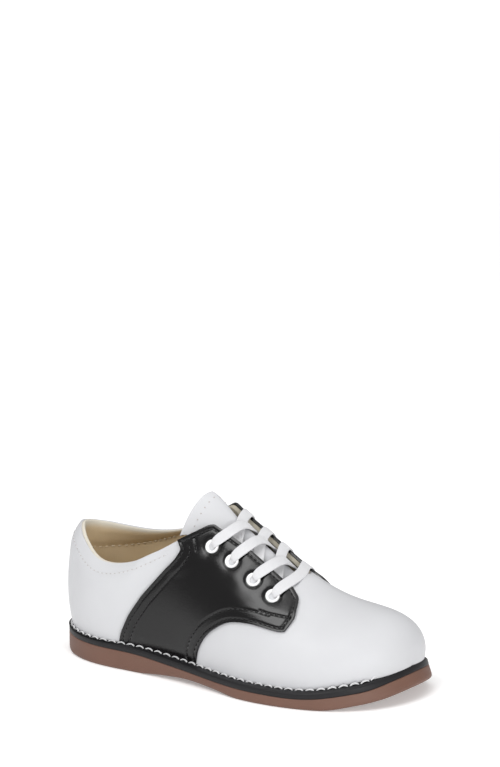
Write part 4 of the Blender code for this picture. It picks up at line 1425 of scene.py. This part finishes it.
def make_insole():
    """Tan footbed: lines across the foot between its two edges, a little dished, thickened downward."""
    s = ends_finer(INSOLE_STATIONS)
    edges = [on_sole(side, s, welt_show(s)+INSOLE_IN, INSOLE_RISE) for side in SIDES.values()]
    across = np.linspace(0, 1, INSOLE_ROWS)
    dish = INSOLE_DISH*(1-(2*across-1)**2)
    grid = edges[0][:, None]+(edges[1]-edges[0])[:, None]*across[None, :, None]
    grid[..., 2] -= dish[None]*ease(np.linalg.norm(edges[1]-edges[0], axis=-1), 0, DISH_WIDTH)[:, None]
    face = patch(grid, outward=UPWARD)
    insole = piece("insole_leather", [face], [TAN], ["insole"], merge=MERGE)
    thicken(insole, INSOLE_THICK)


# Floor, light and camera

PHOTO = (500, 767)      # frame of the photograph in pixels
AZIMUTH, ELEVATION = 34.0, 16.0
DISTANCE = 1600.0       # camera to the point it is set on
AIM_HEIGHT = 25.0       # that point, over the origin
AIM_PIXEL = (239.2, 618.2)
PIXELS_PER_MM = 2.262   # there
SENSOR = 36.0


def make_camera():
    """Camera at the photograph's angle, turned so that the point it is set on falls on its pixel."""
    a, e = math.radians(AZIMUTH), math.radians(ELEVATION)
    back = Vector((math.sin(a)*math.cos(e), -math.cos(a)*math.cos(e), math.sin(e)))
    right = Vector((math.cos(a), math.sin(a), 0))
    up = back.cross(right)
    middle = Vector((0, 0, AIM_HEIGHT))
    off = [(half/2-pixel)/PIXELS_PER_MM for half, pixel in zip(PHOTO, AIM_PIXEL)]
    aim = middle+right*off[0]-up*off[1]
    data = bpy.data.cameras.new("camera")
    camera = bpy.data.objects.new("camera", data)
    bpy.context.scene.collection.objects.link(camera)
    camera.location = (middle+back*DISTANCE)*MM
    camera.rotation_euler = ((aim-middle)-back*DISTANCE).to_track_quat("-Z", "Y").to_euler()
    turned = math.cos(math.atan(math.hypot(*off)/DISTANCE))
    data.sensor_width = SENSOR
    data.lens = PIXELS_PER_MM*DISTANCE*turned*SENSOR/max(PHOTO)
    bpy.context.scene.camera = camera


FLOOR_GLOW = 0.25, 0.68     # glow painted into the sheet itself, near the shoe and far from it: painted light that pales the shadows and whitens the far floor
GLOW_REACH = 0.45, 2.6      # distances from the shoe between which it grows, in metres
FLOOR_REACH = 9.0           # half of the sheet's breadth, in metres
SKY = 0.40                  # strength of the even light from all round


def make_floor():
    # Matte white sheet that glows by itself, more the further it lies from the shoe: painted light that keeps
    # shadows pale
    made, tree, shader = new_material("white_paper_floor", Roughness=0.95, IOR=1.2,
                                      Emission_Color=srgb("ffffff"))
    place = add(tree, "ShaderNodeTexCoord").outputs["Object"]
    cloud = add(tree, "ShaderNodeTexNoise", {"Vector": place, "Scale": 2.0})
    tone = add(tree, "ShaderNodeMix", {0: cloud.outputs[0], 6: srgb("fbfbfb"), 7: srgb("f9f9f9")},
               data_type="RGBA")
    away = add(tree, "ShaderNodeVectorMath", {0: place}, operation="LENGTH")
    glow = add(tree, "ShaderNodeMapRange", {"Value": away.outputs["Value"],
                                            "From Min": GLOW_REACH[0], "From Max": GLOW_REACH[1],
                                            "To Min": FLOOR_GLOW[0], "To Max": FLOOR_GLOW[1]})
    feed(tree, shader, Base_Color=tone.outputs[2], Emission_Strength=glow.outputs[0])
    corners = [(x*FLOOR_REACH, y*FLOOR_REACH, 0) for x, y in ((-1, -1), (1, -1), (1, 1), (-1, 1))]
    mesh = bpy.data.meshes.new("floor")
    mesh.from_pydata(corners, [], [(0, 1, 2, 3)])
    mesh.materials.append(made)
    floor = bpy.data.objects.new("floor", mesh)
    bpy.context.scene.collection.objects.link(floor)


# Soft lights, all turned to the shoe: shape, place and size in metres, power in watts
LIGHTS = named(("name", "shape", "place", "size", "power"), (
    ("overhead", "DISK", (0.1, 0.15, 1.7), 1.8, 8.0),
    ("front", "DISK", (1.84, -1.07, 0.60), 0.9, 18.0),
    ("key", "SQUARE", (-0.07, -1.02, 1.29), 0.85, 11.5),
    ("left", "DISK", (-1.9, -0.7, 1.1), 1.2, 1.0),
))


def make_lights():
    middle = Vector((0, 0, AIM_HEIGHT*MM))
    for row in LIGHTS:
        data = bpy.data.lights.new(row["name"], "AREA")
        data.shape = row["shape"]
        data.size = row["size"]
        data.energy = row["power"]
        light = bpy.data.objects.new(row["name"], data)
        light.location = row["place"]
        light.rotation_euler = (middle-light.location).to_track_quat("-Z", "Y").to_euler()
        bpy.context.scene.collection.objects.link(light)
    world = bpy.data.worlds.new("studio")
    world.use_nodes = True
    sky = world.node_tree.nodes["Background"]
    sky.inputs["Color"].default_value = srgb("ffffff")
    sky.inputs["Strength"].default_value = SKY
    bpy.context.scene.world = world
    bpy.context.scene.view_settings.view_transform = "Standard"


make_camera()
make_floor()
make_lights()
make_outsole()
make_welt()
make_welt_stitches()
make_insole()
make_upper()
make_lining()
for each, sign in SIDES.items():
    make_saddle(each, sign)
    make_saddle_stitches(each, sign)
    make_eyelets(each, sign)
make_collar_stitches()
make_tongue()
make_laces()
